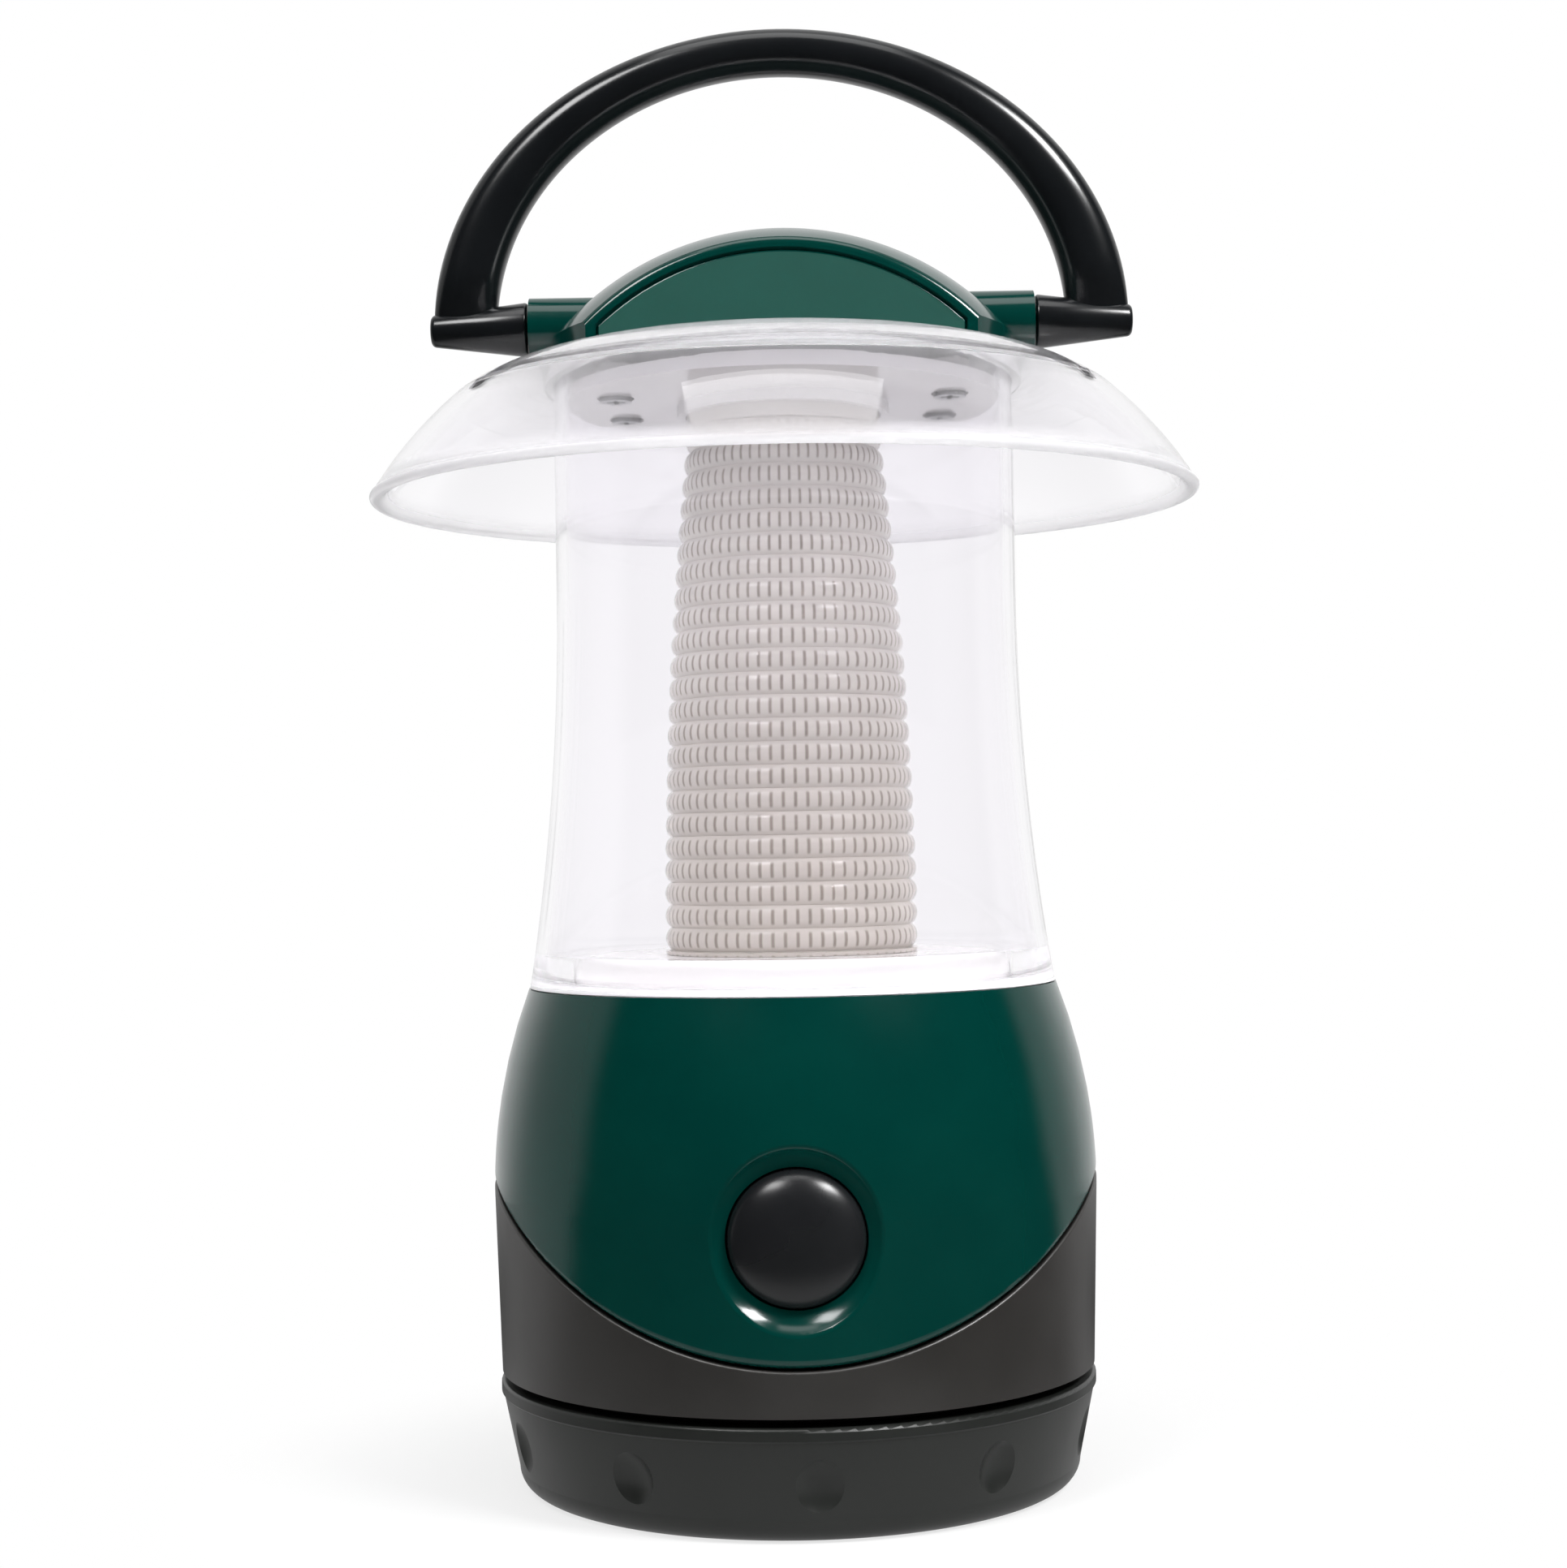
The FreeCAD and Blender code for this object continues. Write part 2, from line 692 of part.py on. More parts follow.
def tray_screws():
    length = TRAY_TOP_T + SEAT_GAP + DECK_T + BITE / 2
    return [screw(polar(DECK_SCREW_PCR, d, TRAY_TOP_Z), UP, length) for d in GAP_DEGS]


def ledge_tabs():
    tabs = []
    band = ring(TRAY_R + LEDGE_GAP, SLEEVE_IN_R + SLEEVE_WALL / 2, LEDGE_Z, LEDGE_T)
    for degrees in POST_DEGS:
        spot = cylinder(LEDGE_TAB_R, LEDGE_T, polar(POST_PCR, degrees, LEDGE_Z))
        tabs.append(band.common(spot))
    return tabs


def lower_housing():
    under = body_solid(0).cut(body_solid(SLEEVE_INSET + SLEEVE_WALL / 2))
    shell = under.cut(parting(ARC_R + PART_LINE / 2))
    form = body_solid(SLEEVE_INSET)
    sleeve = form.common(ring(SLEEVE_IN_R, 2 * BODY_R, BODY_Z, SLEEVE_TOP_Z - BODY_Z))
    ribs = []
    for i in range(STARTS):
        inner, outer = SPIGOT_R + THREAD_GAP, SLEEVE_IN_R + SLEEVE_WALL / 2
        ribs.append(helical_bar(inner, outer, RIB_Z, RIB_T, 360 * i / STARTS, TURN_DEG))
    clear = cylinder(PAD_R + RUN_GAP, 2 * BODY_R, vec(0, 0, BUTTON_Z), FRONT)
    sleeve = sleeve.cut(clear)
    body = join(shell, sleeve, *ribs, *ledge_tabs())
    body = body.makeFillet(GREY_ROUND, outer_edges(body, ARC_R + PART_LINE / 2))
    holes = [cylinder(SCREW_HOLE_R, LEDGE_T, polar(POST_PCR, d, LEDGE_Z)) for d in POST_DEGS]
    return body.cut(holes)


def globe_notch(margin, top_z):
    # Two blocks on the X axis: the lugs of the globe, or with a margin the notches for them
    inner = barrel_r(BODY_TOP_Z) - BODY_WALL
    low = DECK_TOP_Z + RUN_GAP
    blocks = []
    for side in (0, 180):
        half = LUG_W / 2 + margin
        block = slab(inner - LUG_OUT, inner + LUG_OUT + margin, -half, half, low - margin, top_z)
        block.rotate(ORIGIN, UP, side)
        blocks.append(block)
    return blocks


def dished(shell):
    # Shell with a pad behind the button and a shallow curved bowl sunk round it, its rim rounded
    pad = to_front(ring(BUTTON_HOLE_R, PAD_R, SLEEVE_IN_R, BODY_R - SLEEVE_IN_R))
    pad = pad.common(body_solid(BODY_WALL / 2))
    rim_r = BUTTON_HOLE_R + DISH_BOWL_W
    floor = BODY_R - DISH_BOWL_DEPTH
    sag = DISH_BOWL_SAG / math.hypot(DISH_BOWL_W, DISH_BOWL_DEPTH)
    side = ((BUTTON_HOLE_R + rim_r) / 2 + sag * DISH_BOWL_DEPTH, (floor + BODY_R) / 2 - sag * DISH_BOWL_W)
    steps = [(BUTTON_HOLE_R, floor), (side, (rim_r, BODY_R)), (rim_r, 2 * BODY_R), (0, 2 * BODY_R)]
    bowl = lathe((0, floor), *steps)
    body = join(shell, pad).cut(to_front(bowl))
    rims = []
    for edge in body.Edges:
        points = edge_points(edge)
        on_bowl = all(BUTTON_HOLE_R + BUTTON_GAP < math.hypot(p.x, p.z - BUTTON_Z) < PAD_R for p in points)
        on_outside = all(math.hypot(p.x, p.y) > BODY_R - BODY_WALL / 2 for p in points)
        if on_bowl and on_outside and points[0].y < 0:
            rims.append(edge)
    return body.makeFillet(DISH_RIM_ROUND, rims)


def upper_housing():
    shell = body_solid(0).cut(body_solid(BODY_WALL))
    shell = shell.common(parting(ARC_R - PART_LINE / 2))
    shell = shell.makeFillet(GREEN_ROUND, outer_edges(shell, ARC_R - PART_LINE / 2))
    deck = ring(DECK_HOLE_R, barrel_r(DECK_TOP_Z) - BODY_WALL / 2, DECK_Z, DECK_T)
    inside = body_solid(BODY_WALL / 2)
    post_z = SLEEVE_TOP_Z + TAP_GAP
    posts = [cylinder(POST_R, DECK_TOP_Z - post_z, polar(POST_PCR, d, post_z)) for d in POST_DEGS]
    posts = [post.common(inside) for post in posts]
    bosses = [cylinder(SCREW_HEAD_R, BITE / 2, polar(DECK_SCREW_PCR, d, DECK_TOP_Z)) for d in GAP_DEGS]
    arms = []
    for side in (-1, 1):
        start = vec(side * BRACKET_X, -BRACKET_FRONT, BUTTON_Z)
        arm = cylinder(SCREW_HEAD_R, BODY_R - BRACKET_FRONT, start, FRONT)
        arms.append(arm.common(inside))
    body = join(dished(shell), deck, *posts, *bosses, *arms)
    cuts = [to_front(cylinder(BUTTON_HOLE_R, BODY_R, vec(0, 0, BRACKET_FRONT)))]
    cuts.append(cylinder(2 * WIRE_R, DECK_T, vec(WIRE_X, -WIRE_Y, DECK_Z)))
    for degrees in POST_DEGS:
        cuts.append(cylinder(SCREW_R + TAP_GAP, 2 * BITE, polar(POST_PCR, degrees, post_z)))
    for degrees in GAP_DEGS:
        cuts.append(cylinder(SCREW_R + TAP_GAP, DECK_T + BITE / 2, polar(DECK_SCREW_PCR, degrees, DECK_Z)))
    for degrees in CELL_DEGS:
        cuts.append(cylinder(SCREW_HOLE_R, DECK_T, polar(DECK_SCREW_PCR, degrees, DECK_Z)))
    for side in (-1, 1):
        start = vec(side * BRACKET_X, -BRACKET_FRONT, BUTTON_Z)
        cuts.append(cylinder(SCREW_R + TAP_GAP, BITE - BRACKET_T, start, FRONT))
    cuts += globe_notch(SEAT_GAP, BODY_TOP_Z)
    return body.cut(cuts)


def housing_screws():
    length = LEDGE_T + 2 * BITE - SEAT_GAP
    return [screw(polar(POST_PCR, d, LEDGE_Z), UP, length) for d in POST_DEGS]


def push_button():
    # Low domed cap with a rounded edge, hollow behind, with a post for the plunger and a flange
    crown_z = BUTTON_FRONT - BUTTON_CROWN_R
    edge_r = BUTTON_R - BUTTON_EDGE_R
    reach = BUTTON_CROWN_R - BUTTON_EDGE_R
    edge_z = crown_z + math.sqrt(reach ** 2 - edge_r ** 2)
    lean = math.atan2(edge_r, edge_z - crown_z)
    meet = (BUTTON_CROWN_R * math.sin(lean), crown_z + BUTTON_CROWN_R * math.cos(lean))
    half = (math.pi / 2 + lean) / 2
    bend = (edge_r + BUTTON_EDGE_R * math.sin(half), edge_z + BUTTON_EDGE_R * math.cos(half))
    crown = (BUTTON_CROWN_R * math.sin(lean / 2), crown_z + BUTTON_CROWN_R * math.cos(lean / 2))
    cavity_r = BUTTON_R - FLANGE_T - BUTTON_GAP
    body = lathe(
        (0, FLANGE_BACK),
        (BUTTON_POST_R, FLANGE_BACK),
        (BUTTON_POST_R, BUTTON_CAVITY),
        (cavity_r, BUTTON_CAVITY),
        (cavity_r, FLANGE_BACK),
        (FLANGE_R, FLANGE_BACK),
        (FLANGE_R, FLANGE_FRONT),
        (BUTTON_R, FLANGE_FRONT),
        (BUTTON_R, edge_z),
        (bend, meet),
        (crown, (0, BUTTON_FRONT)),
    )
    return to_front(body)


def button_spring():
    length = BUTTON_CAVITY - BRACKET_FRONT
    spring = coil(BUTTON_SPRING_R, SPRING_WIRE_R, length, BUTTON_SPRING_TURNS)
    spring.translate(vec(0, 0, BRACKET_FRONT))
    return to_front(spring)


def switch_plunger():
    length = FLANGE_BACK - BRACKET_BACK + PLUNGER_IN
    return to_front(cylinder(PLUNGER_R, length, vec(0, 0, BRACKET_BACK - PLUNGER_IN)))


def switch_body():
    half_w, half_h = SWITCH_W / 2, SWITCH_H / 2
    box = slab(-half_w, half_w, -half_h, half_h, SWITCH_BACK, BRACKET_BACK)
    depth = PLUNGER_IN + BUTTON_TRAVEL + RUN_GAP
    return to_front(box.cut(cylinder(PLUNGER_R + RUN_GAP / 2, depth, vec(0, 0, BRACKET_BACK - depth))))


def switch_bracket():
    half_w, half_h = BRACKET_X + BRACKET_END, BRACKET_H / 2
    plate = slab(-half_w, half_w, -half_h, half_h, BRACKET_BACK, BRACKET_FRONT)
    cuts = [cylinder(PLUNGER_R + RUN_GAP, BRACKET_T, vec(0, 0, BRACKET_BACK))]
    for side in (-1, 1):
        cuts.append(cylinder(SCREW_HOLE_R, BRACKET_T, vec(side * BRACKET_X, 0, BRACKET_BACK)))
    return to_front(plate.cut(cuts))


def bracket_screws():
    seats = [vec(side * BRACKET_X, -BRACKET_BACK, BUTTON_Z) for side in (-1, 1)]
    return [screw(seat, FRONT, BITE - SEAT_GAP) for seat in seats]


def wire_tube(edges):
    path = Part.Wire(edges)
    start = path.OrderedVertexes[0].Point
    heading = path.OrderedEdges[0].tangentAt(path.OrderedEdges[0].FirstParameter)
    section = Part.Wire(Part.Circle(start, heading, WIRE_R).toShape())
    return path.makePipeShell([section], True, False)


def switch_top_z():
    return BUTTON_Z + SWITCH_H / 2


def wire_battery():
    low = switch_top_z()
    return cylinder(WIRE_R, TOP_CONTACT_Z - low, vec(-WIRE_X, -WIRE_Y, low))


def wire_switched():
    # Up from the switch through the deck, then inwards to the edge of the lamp board
    board_z = BOARD_Z + BOARD_T / 2
    edge_y = math.sqrt(BOARD_R ** 2 - (WIRE_X - WIRE_R) ** 2)
    low = vec(WIRE_X, -WIRE_Y, switch_top_z())
    knee = vec(WIRE_X, -WIRE_Y, board_z - WIRE_BEND)
    corner = vec(WIRE_X, -WIRE_Y, board_z)
    turn = vec(WIRE_X, WIRE_BEND - WIRE_Y, board_z)
    end = vec(WIRE_X, -edge_y - SEAT_GAP, board_z)
    rise = Part.LineSegment(low, knee).toShape()
    run = Part.LineSegment(turn, end).toShape()
    return wire_tube([rise, arc_edge(knee, corner, turn), run])


def led_board():
    board = cylinder(BOARD_R, BOARD_T, vec(0, 0, BOARD_Z))
    holes = [cylinder(SCREW_HOLE_R, BOARD_T, polar(BOARD_SCREW_PCR, d, BOARD_Z)) for d in BOARD_SCREW_DEGS]
    return board.cut(holes).cut(strip_bar(TAP_GAP, BOARD_Z, BOARD_TOP_Z))


def led_lamps():
    lamps = []
    spots = [vec(0, 0, BOARD_TOP_Z)]
    spots += [polar(LAMP_RING_R, 360 * i / LAMP_COUNT + 30, BOARD_TOP_Z) for i in range(LAMP_COUNT)]
    for spot in spots:
        lens = (LAMP_R * math.sqrt(0.5), LAMP_H + LAMP_R * math.sqrt(0.5))
        lamp = lathe(
            (0, 0),
            (LAMP_BASE_R, 0),
            (LAMP_BASE_R, LAMP_BASE_H),
            (LAMP_R, LAMP_BASE_H),
            (LAMP_R, LAMP_H),
            (lens, (0, LAMP_H + LAMP_R)),
        )
        lamp.translate(spot)
        lamps.append(lamp)
    return lamps


def board_screws():
    length = BOARD_T + REFLECTOR_Z - REFLECTOR_WALL - BOARD_TOP_Z - SEAT_GAP
    return [screw(polar(BOARD_SCREW_PCR, d, BOARD_Z), UP, length) for d in BOARD_SCREW_DEGS]


def foot_ring_r():
    return barrel_r(BODY_TOP_Z) - GLOBE_RIM_INSET - FOOT_RING_W


def diff_tongue_r():
    return DIFF_R - RIB_DEPTH - DIFF_WALL


def reflector_plate():
    outer = foot_ring_r() - RUN_GAP
    inner = outer - REFLECTOR_WALL
    low = DECK_TOP_Z + TAP_GAP
    under = REFLECTOR_Z - REFLECTOR_WALL
    hole = diff_tongue_r() + SEAT_GAP
    side, top = (outer, REFLECTOR_Z - REFLECTOR_ROUND), (outer - REFLECTOR_ROUND, REFLECTOR_Z)
    plate = lathe(
        (outer, low),
        side,
        round_between(side, top, (outer, REFLECTOR_Z)),
        (hole, REFLECTOR_Z),
        (hole, under),
        (inner - REFLECTOR_ROUND / 2, under),
        (inner, under - REFLECTOR_ROUND / 2),
        (inner, low),
    )
    bosses = []
    pilots = []
    for degrees in CELL_DEGS:
        at = polar(DECK_SCREW_PCR, degrees, low)
        bosses.append(cylinder(REFLECTOR_BOSS_R, REFLECTOR_Z - SEAT_GAP - low, at))
        pilots.append(cylinder(SCREW_R + TAP_GAP, under - low, at))
    for degrees in BOARD_SCREW_DEGS:
        seat = BOARD_TOP_Z + TAP_GAP
        at = polar(BOARD_SCREW_PCR, degrees, seat)
        bosses.append(cylinder(REFLECTOR_BOSS_R, under - seat, at))
        pilots.append(cylinder(SCREW_R + TAP_GAP, under - seat, at))
    return join(plate, *bosses).cut(pilots)


def reflector_screws():
    length = DECK_T + REFLECTOR_H - REFLECTOR_WALL - SEAT_GAP
    return [screw(polar(DECK_SCREW_PCR, d, DECK_Z), UP, length) for d in CELL_DEGS]


def diffuser_r(z):
    # Barrel-shaped taper of the diffuser, upright at its foot
    share = (z - DIFF_Z) / (DIFF_RIB_TOP_Z - DIFF_Z)
    return DIFF_R - (DIFF_R - DIFF_TOP_R) * share ** 2


def diffuser():
    foot_z = DIFF_Z + DIFF_FOOT_H
    pitch = (DIFF_RIB_TOP_Z - foot_z) / RIB_COUNT
    steps = [(diffuser_r(DIFF_Z), DIFF_Z), (diffuser_r(foot_z) - RIB_DEPTH, foot_z)]
    for i in range(RIB_COUNT):
        crest_z = foot_z + (i + 0.5) * pitch
        end_z = foot_z + (i + 1) * pitch
        steps.append(((diffuser_r(crest_z), crest_z), (diffuser_r(end_z) - RIB_DEPTH, end_z)))
    collar = DIFF_TOP_R
    steps += [(collar, DIFF_RIB_TOP_Z), (collar, DIFF_TOP_Z)]
    inner_top = diffuser_r(DIFF_RIB_TOP_Z) - RIB_DEPTH - DIFF_WALL
    middle_z = (DIFF_Z + DIFF_RIB_TOP_Z) / 2
    inner_middle = diffuser_r(middle_z) - RIB_DEPTH - DIFF_WALL
    tongue = diff_tongue_r()
    steps += [(inner_top, DIFF_TOP_Z), (inner_top, DIFF_RIB_TOP_Z)]
    steps.append(((inner_middle, middle_z), (tongue - DIFF_TONGUE_T, DIFF_Z)))
    tongue_z = DIFF_Z - REFLECTOR_WALL
    steps += [(tongue - DIFF_TONGUE_T, tongue_z), (tongue, tongue_z), (tongue, DIFF_Z)]
    return lathe(steps[0], *steps[1:])


def globe():
    foot_r = barrel_r(BODY_TOP_Z) - GLOBE_RIM_INSET
    ring_r = foot_ring_r()
    ring_top_z = GLOBE_Z + FLANGE_H
    spigot_r = barrel_r(BODY_TOP_Z) - BODY_WALL - SEAT_GAP
    spigot_z = DECK_TOP_Z + RUN_GAP

    def flare_r(z):
        share = (GLOBE_FLARE_Z - z) / (GLOBE_FLARE_Z - GLOBE_Z)
        return GLOBE_R + (foot_r - GLOBE_R) * share ** 2

    middle_z = (GLOBE_Z + GLOBE_FLARE_Z) / 2
    inner_z = (ring_top_z + GLOBE_FLARE_Z) / 2
    tube = lathe(
        (ring_r, spigot_z),
        (spigot_r, spigot_z),
        (spigot_r, GLOBE_Z),
        (foot_r, GLOBE_Z),
        ((flare_r(middle_z), middle_z), (GLOBE_R, GLOBE_FLARE_Z)),
        (GLOBE_R, GLOBE_TOP_Z),
        (GLOBE_R - GLOBE_WALL, GLOBE_TOP_Z),
        (GLOBE_R - GLOBE_WALL, GLOBE_FLARE_Z),
        ((flare_r(inner_z) - GLOBE_WALL, inner_z), (flare_r(ring_top_z) - GLOBE_WALL, ring_top_z)),
        (ring_r, ring_top_z),
    )
    return join(tube, *globe_notch(0, DECK_TOP_Z + RUN_GAP + LUG_H))


def upper_reflector():
    plate_r = GLOBE_R - GLOBE_WALL - RUN_GAP
    plate = cylinder(plate_r, PLATE_T, vec(0, 0, PLATE_Z))
    socket_in = DIFF_TOP_R + SEAT_GAP
    socket = ring(socket_in, socket_in + SOCKET_WALL, PLATE_Z - SOCKET_H, SOCKET_H)
    posts = []
    cuts = []
    for degrees in CAP_SCREW_DEGS:
        post_h = CEILING_Z - SEAT_GAP - PLATE_TOP_Z
        posts.append(cylinder(PLATE_POST_R, post_h, polar(CAP_SCREW_PCR, degrees, PLATE_TOP_Z)))
        cuts.append(cylinder(SCREW_HOLE_R, CEILING_Z - PLATE_Z, polar(CAP_SCREW_PCR, degrees, PLATE_Z)))
        cuts.append(cylinder(SCREW_HEAD_R + RUN_GAP, PLATE_HEAD_SINK, polar(CAP_SCREW_PCR, degrees, PLATE_Z)))
    return join(plate, socket, *posts).cut(cuts)


def shade_points(t):
    # Points of the bell-shaped brim, from the flat crown to the rim, drawn in by t along the normal
    reach = SHADE_RIM_R - SHADE_FLAT_R
    drop = SHADE_DROP - SHADE_EDGE
    points = []
    for out, down, lean in SHADE_BELL:
        slope = math.radians(lean)
        r = SHADE_FLAT_R + reach * out - t * math.sin(slope)
        z = SHADE_TOP_Z - drop * down - t * math.cos(slope)
        points.append((r, z))
    return points


def shade():
    outer = shade_points(0)
    inner = shade_points(SHADE_T)
    rim_z = SHADE_TOP_Z - SHADE_DROP
    rim_r = outer[4][0] + SHADE_EDGE * math.tan(math.radians(SHADE_RIM_LEAN))
    inner_rim = rim_r - SHADE_T
    shell = lathe(
        (0, SHADE_TOP_Z),
        outer[0],
        (outer[1], outer[2]),
        (outer[3], outer[4]),
        ((rim_r, (outer[4][1] + rim_z) / 2), (rim_r - SHADE_T / 2, rim_z)),
        ((inner_rim, (inner[4][1] + rim_z) / 2), inner[4]),
        (inner[3], inner[2]),
        (inner[1], inner[0]),
        (0, CEILING_Z),
    )
    inside = GLOBE_R + SEAT_GAP
    locate = ring(inside, inside + LOCATE_W, CEILING_Z - LOCATE_H, LOCATE_H + SHADE_T / 2)
    locate = locate.common(lathe((0, SHADE_TOP_Z), *shade_steps(0), (0, rim_z)))
    pocket = cylinder(inside, LOCATE_H, vec(0, 0, CEILING_Z - LOCATE_H))
    body = join(shell, locate).cut(pocket)
    holes = [cylinder(SCREW_HOLE_R, SHADE_T, polar(CAP_SCREW_PCR, d, CEILING_Z)) for d in CAP_SCREW_DEGS]
    return body.cut(holes)


def shade_steps(lift):
    outer = [(r, z + lift) for r, z in shade_points(0)]
    rim_z = SHADE_TOP_Z - SHADE_DROP
    return [outer[0], (outer[1], outer[2]), (outer[3], outer[4]), (outer[4][0], rim_z)]


def dome(radius, flat_y, base_r):
    # Spherical cap with a flat arched front and back
    ball = Part.makeSphere(radius, vec(0, 0, DOME_Z))
    low = SHADE_TOP_Z - SHADE_DROP / 2
    drum = cylinder(base_r, radius, vec(0, 0, low))
    return ball.common(drum).common(slab(-radius, radius, -flat_y, flat_y, low, low + radius))


def paneled(body):
    # Cap with a groove round a slightly sunk, round-edged panel on each flat
    sunk = dome(DOME_R - CAP_LIP_W, 2 * CAP_FLAT_Y, CAP_R - CAP_LIP_W)
    margin = CAP_LIP_W + CAP_GROOVE_W
    panel = dome(DOME_R - margin, 2 * CAP_FLAT_Y, CAP_R - margin)
    face = CAP_FLAT_Y - CAP_PANEL_SINK
    floor = CAP_FLAT_Y - CAP_GROOVE_DEPTH
    body = body.cut(sunk.cut(slab(-DOME_R, DOME_R, -face, face, DOME_Z, DOME_Z + DOME_R)))
    body = body.cut(sunk.cut(panel).cut(slab(-DOME_R, DOME_R, -floor, floor, DOME_Z, DOME_Z + DOME_R)))
    edges = []
    for edge in body.Edges:
        points = edge_points(edge)
        on_face = all(abs(abs(p.y) - face) < 1e-3 for p in points)
        on_ball = all(abs((p - vec(0, 0, DOME_Z)).Length - DOME_R + margin) < 1e-3 for p in points)
        if on_face and on_ball:
            edges.append(edge)
    return body.makeFillet(CAP_PANEL_ROUND, edges)


def top_cap():
    outer = dome(DOME_R, CAP_FLAT_Y, CAP_R)
    edges = []
    for edge in outer.Edges:
        points = edge_points(edge)
        on_flat = all(abs(abs(p.y) - CAP_FLAT_Y) < 1e-3 for p in points)
        on_ball = all(abs((p - vec(0, 0, DOME_Z)).Length - DOME_R) < 1e-3 for p in points)
        if on_flat and on_ball:
            edges.append(edge)
    outer = outer.makeFillet(CAP_EDGE_ROUND, edges)
    hollow = dome(DOME_R - CAP_WALL, CAP_FLAT_Y - CAP_WALL, CAP_R - CAP_WALL)
    body = outer.cut(hollow)
    body = paneled(body)
    bosses = []
    for side in (-1, 1):
        bosses.append(cylinder(BOSS_R, BOSS_OUT - BOSS_IN, vec(side * BOSS_IN, 0, PIVOT_Z), X_AXIS * side))
    inside = dome(DOME_R - CAP_WALL / 2, CAP_FLAT_Y - CAP_WALL / 2, CAP_R - CAP_WALL / 2)
    posts = []
    for degrees in CAP_SCREW_DEGS:
        post = cylinder(PLATE_POST_R, DOME_R, polar(CAP_SCREW_PCR, degrees, SHADE_TOP_Z))
        posts.append(post.common(inside))
    body = join(body, *bosses, *posts)
    cuts = [lathe((0, SHADE_TOP_Z + SEAT_GAP), *shade_steps(SEAT_GAP), (0, SHADE_TOP_Z - SHADE_DROP))]
    for side in (-1, 1):
        start = vec(side * (BOSS_OUT - PIVOT_BORE_L), 0, PIVOT_Z)
        cuts.append(cylinder(PIVOT_BORE_R, PIVOT_BORE_L, start, X_AXIS * side))
    for degrees in CAP_SCREW_DEGS:
        cuts.append(cylinder(SCREW_R + TAP_GAP, BITE, polar(CAP_SCREW_PCR, degrees, SHADE_TOP_Z)))
    return body.cut(cuts)


def cap_screws():
    seat_z = PLATE_Z + PLATE_HEAD_SINK
    length = SHADE_TOP_Z + BITE - SEAT_GAP - seat_z
    return [screw(polar(CAP_SCREW_PCR, d, seat_z), UP, length) for d in CAP_SCREW_DEGS]


def half_ellipse(half_x, half_z):
    # Upper half of an ellipse about the pivot axis, as a thick plate across Y
    curve = Part.Ellipse(vec(0, 0, 0), max(half_x, half_z), min(half_x, half_z))
    edge = curve.toShape()
    if half_z > half_x:
        edge.rotate(ORIGIN, UP, 90)
    plate = Part.Face(Part.Wire(edge)).extrude(vec(0, 0, ARCH_DEPTH))
    plate.translate(vec(0, 0, -ARCH_DEPTH / 2))
    plate.rotate(ORIGIN, X_AXIS, 90)
    plate.translate(vec(0, 0, PIVOT_Z))
    return plate.common(slab(-half_x, half_x, -ARCH_DEPTH, ARCH_DEPTH, PIVOT_Z, PIVOT_Z + 2 * half_z))


def handle():
    arch = half_ellipse(ARCH_X, ARCH_Z).cut(half_ellipse(ARCH_X - ARCH_LEG_W, ARCH_Z - ARCH_TOP_T))
    rims = []
    for edge in arch.Edges:
        points = edge_points(edge)
        on_side = all(abs(abs(p.y) - ARCH_DEPTH / 2) < 1e-3 for p in points)
        rises = max(p.z for p in points) > PIVOT_Z + ARCH_DEPTH
        if on_side and rises:
            rims.append(edge)
    arch = arch.makeFillet(ARCH_ROUND, rims)
    pieces = []
    start = BOSS_OUT + PIVOT_GAP
    for side in (-1, 1):
        at = vec(side * start, 0, PIVOT_Z)
        end = ARCH_X + PIVOT_TIP_OUT
        cone = Part.makeCone(PIVOT_R, PIVOT_TIP_R, end - start, at, X_AXIS * side)
        tip = [e for e in cone.Edges if all(abs(abs(p.x) - end) < 1e-3 for p in edge_points(e))]
        pieces.append(cone.makeFillet(PIVOT_TIP_ROUND, tip))
        pin = vec(side * (start - PIVOT_PIN_L), 0, PIVOT_Z)
        pieces.append(cylinder(PIVOT_PIN_R, PIVOT_PIN_L + ARCH_ROUND, pin, X_AXIS * side))
    return join(arch, *pieces)


def carrier_screw():
    seat = FLOOR_Z + CARRIER_T + 2 * RUN_GAP
    return screw(vec(0, 0, seat), DOWN, seat - FLOOR_Z - SEAT_GAP, CARRIER_HEAD_R)


def save(name, shape):
    if isinstance(shape, list):
        shape = Part.makeCompound(shape)
    shape.exportStep("parts/" + name + ".step")


os.makedirs("parts", exist_ok=True)
save("base_cap", base_cap())
save("base_seal", base_seal())
save("contact_carrier", contact_carrier())
save("carrier_screw", carrier_screw())
save("base_contacts", base_contacts())
save("base_springs", [cell_spring(LEFT_DEG, SPRING_Z), cell_spring(RIGHT_DEG, SPRING_Z)])
save("battery_cell_left", battery_cell(LEFT_DEG, True))
save("battery_cell_back", battery_cell(BACK_DEG, False))
save("battery_cell_right", battery_cell(RIGHT_DEG, True))
save("battery_tray", battery_tray())
save("tray_contacts", tray_contacts())
save("tray_spring", cell_spring(BACK_DEG, CELL_TOP_Z))
save("tray_screws", tray_screws())
save("return_strip", return_strip())
save("lower_housing", lower_housing())
save("upper_housing", upper_housing())
save("housing_screws", housing_screws())
save("push_button", push_button())
save("button_spring", button_spring())
save("switch_plunger", switch_plunger())
save("switch_body", switch_body())
save("switch_bracket", switch_bracket())
save("bracket_screws", bracket_screws())
save("wire_battery", wire_battery())
save("wire_switched", wire_switched())
save("led_board", led_board())
save("led_lamps", led_lamps())
save("board_screws", board_screws())
save("reflector_plate", reflector_plate())
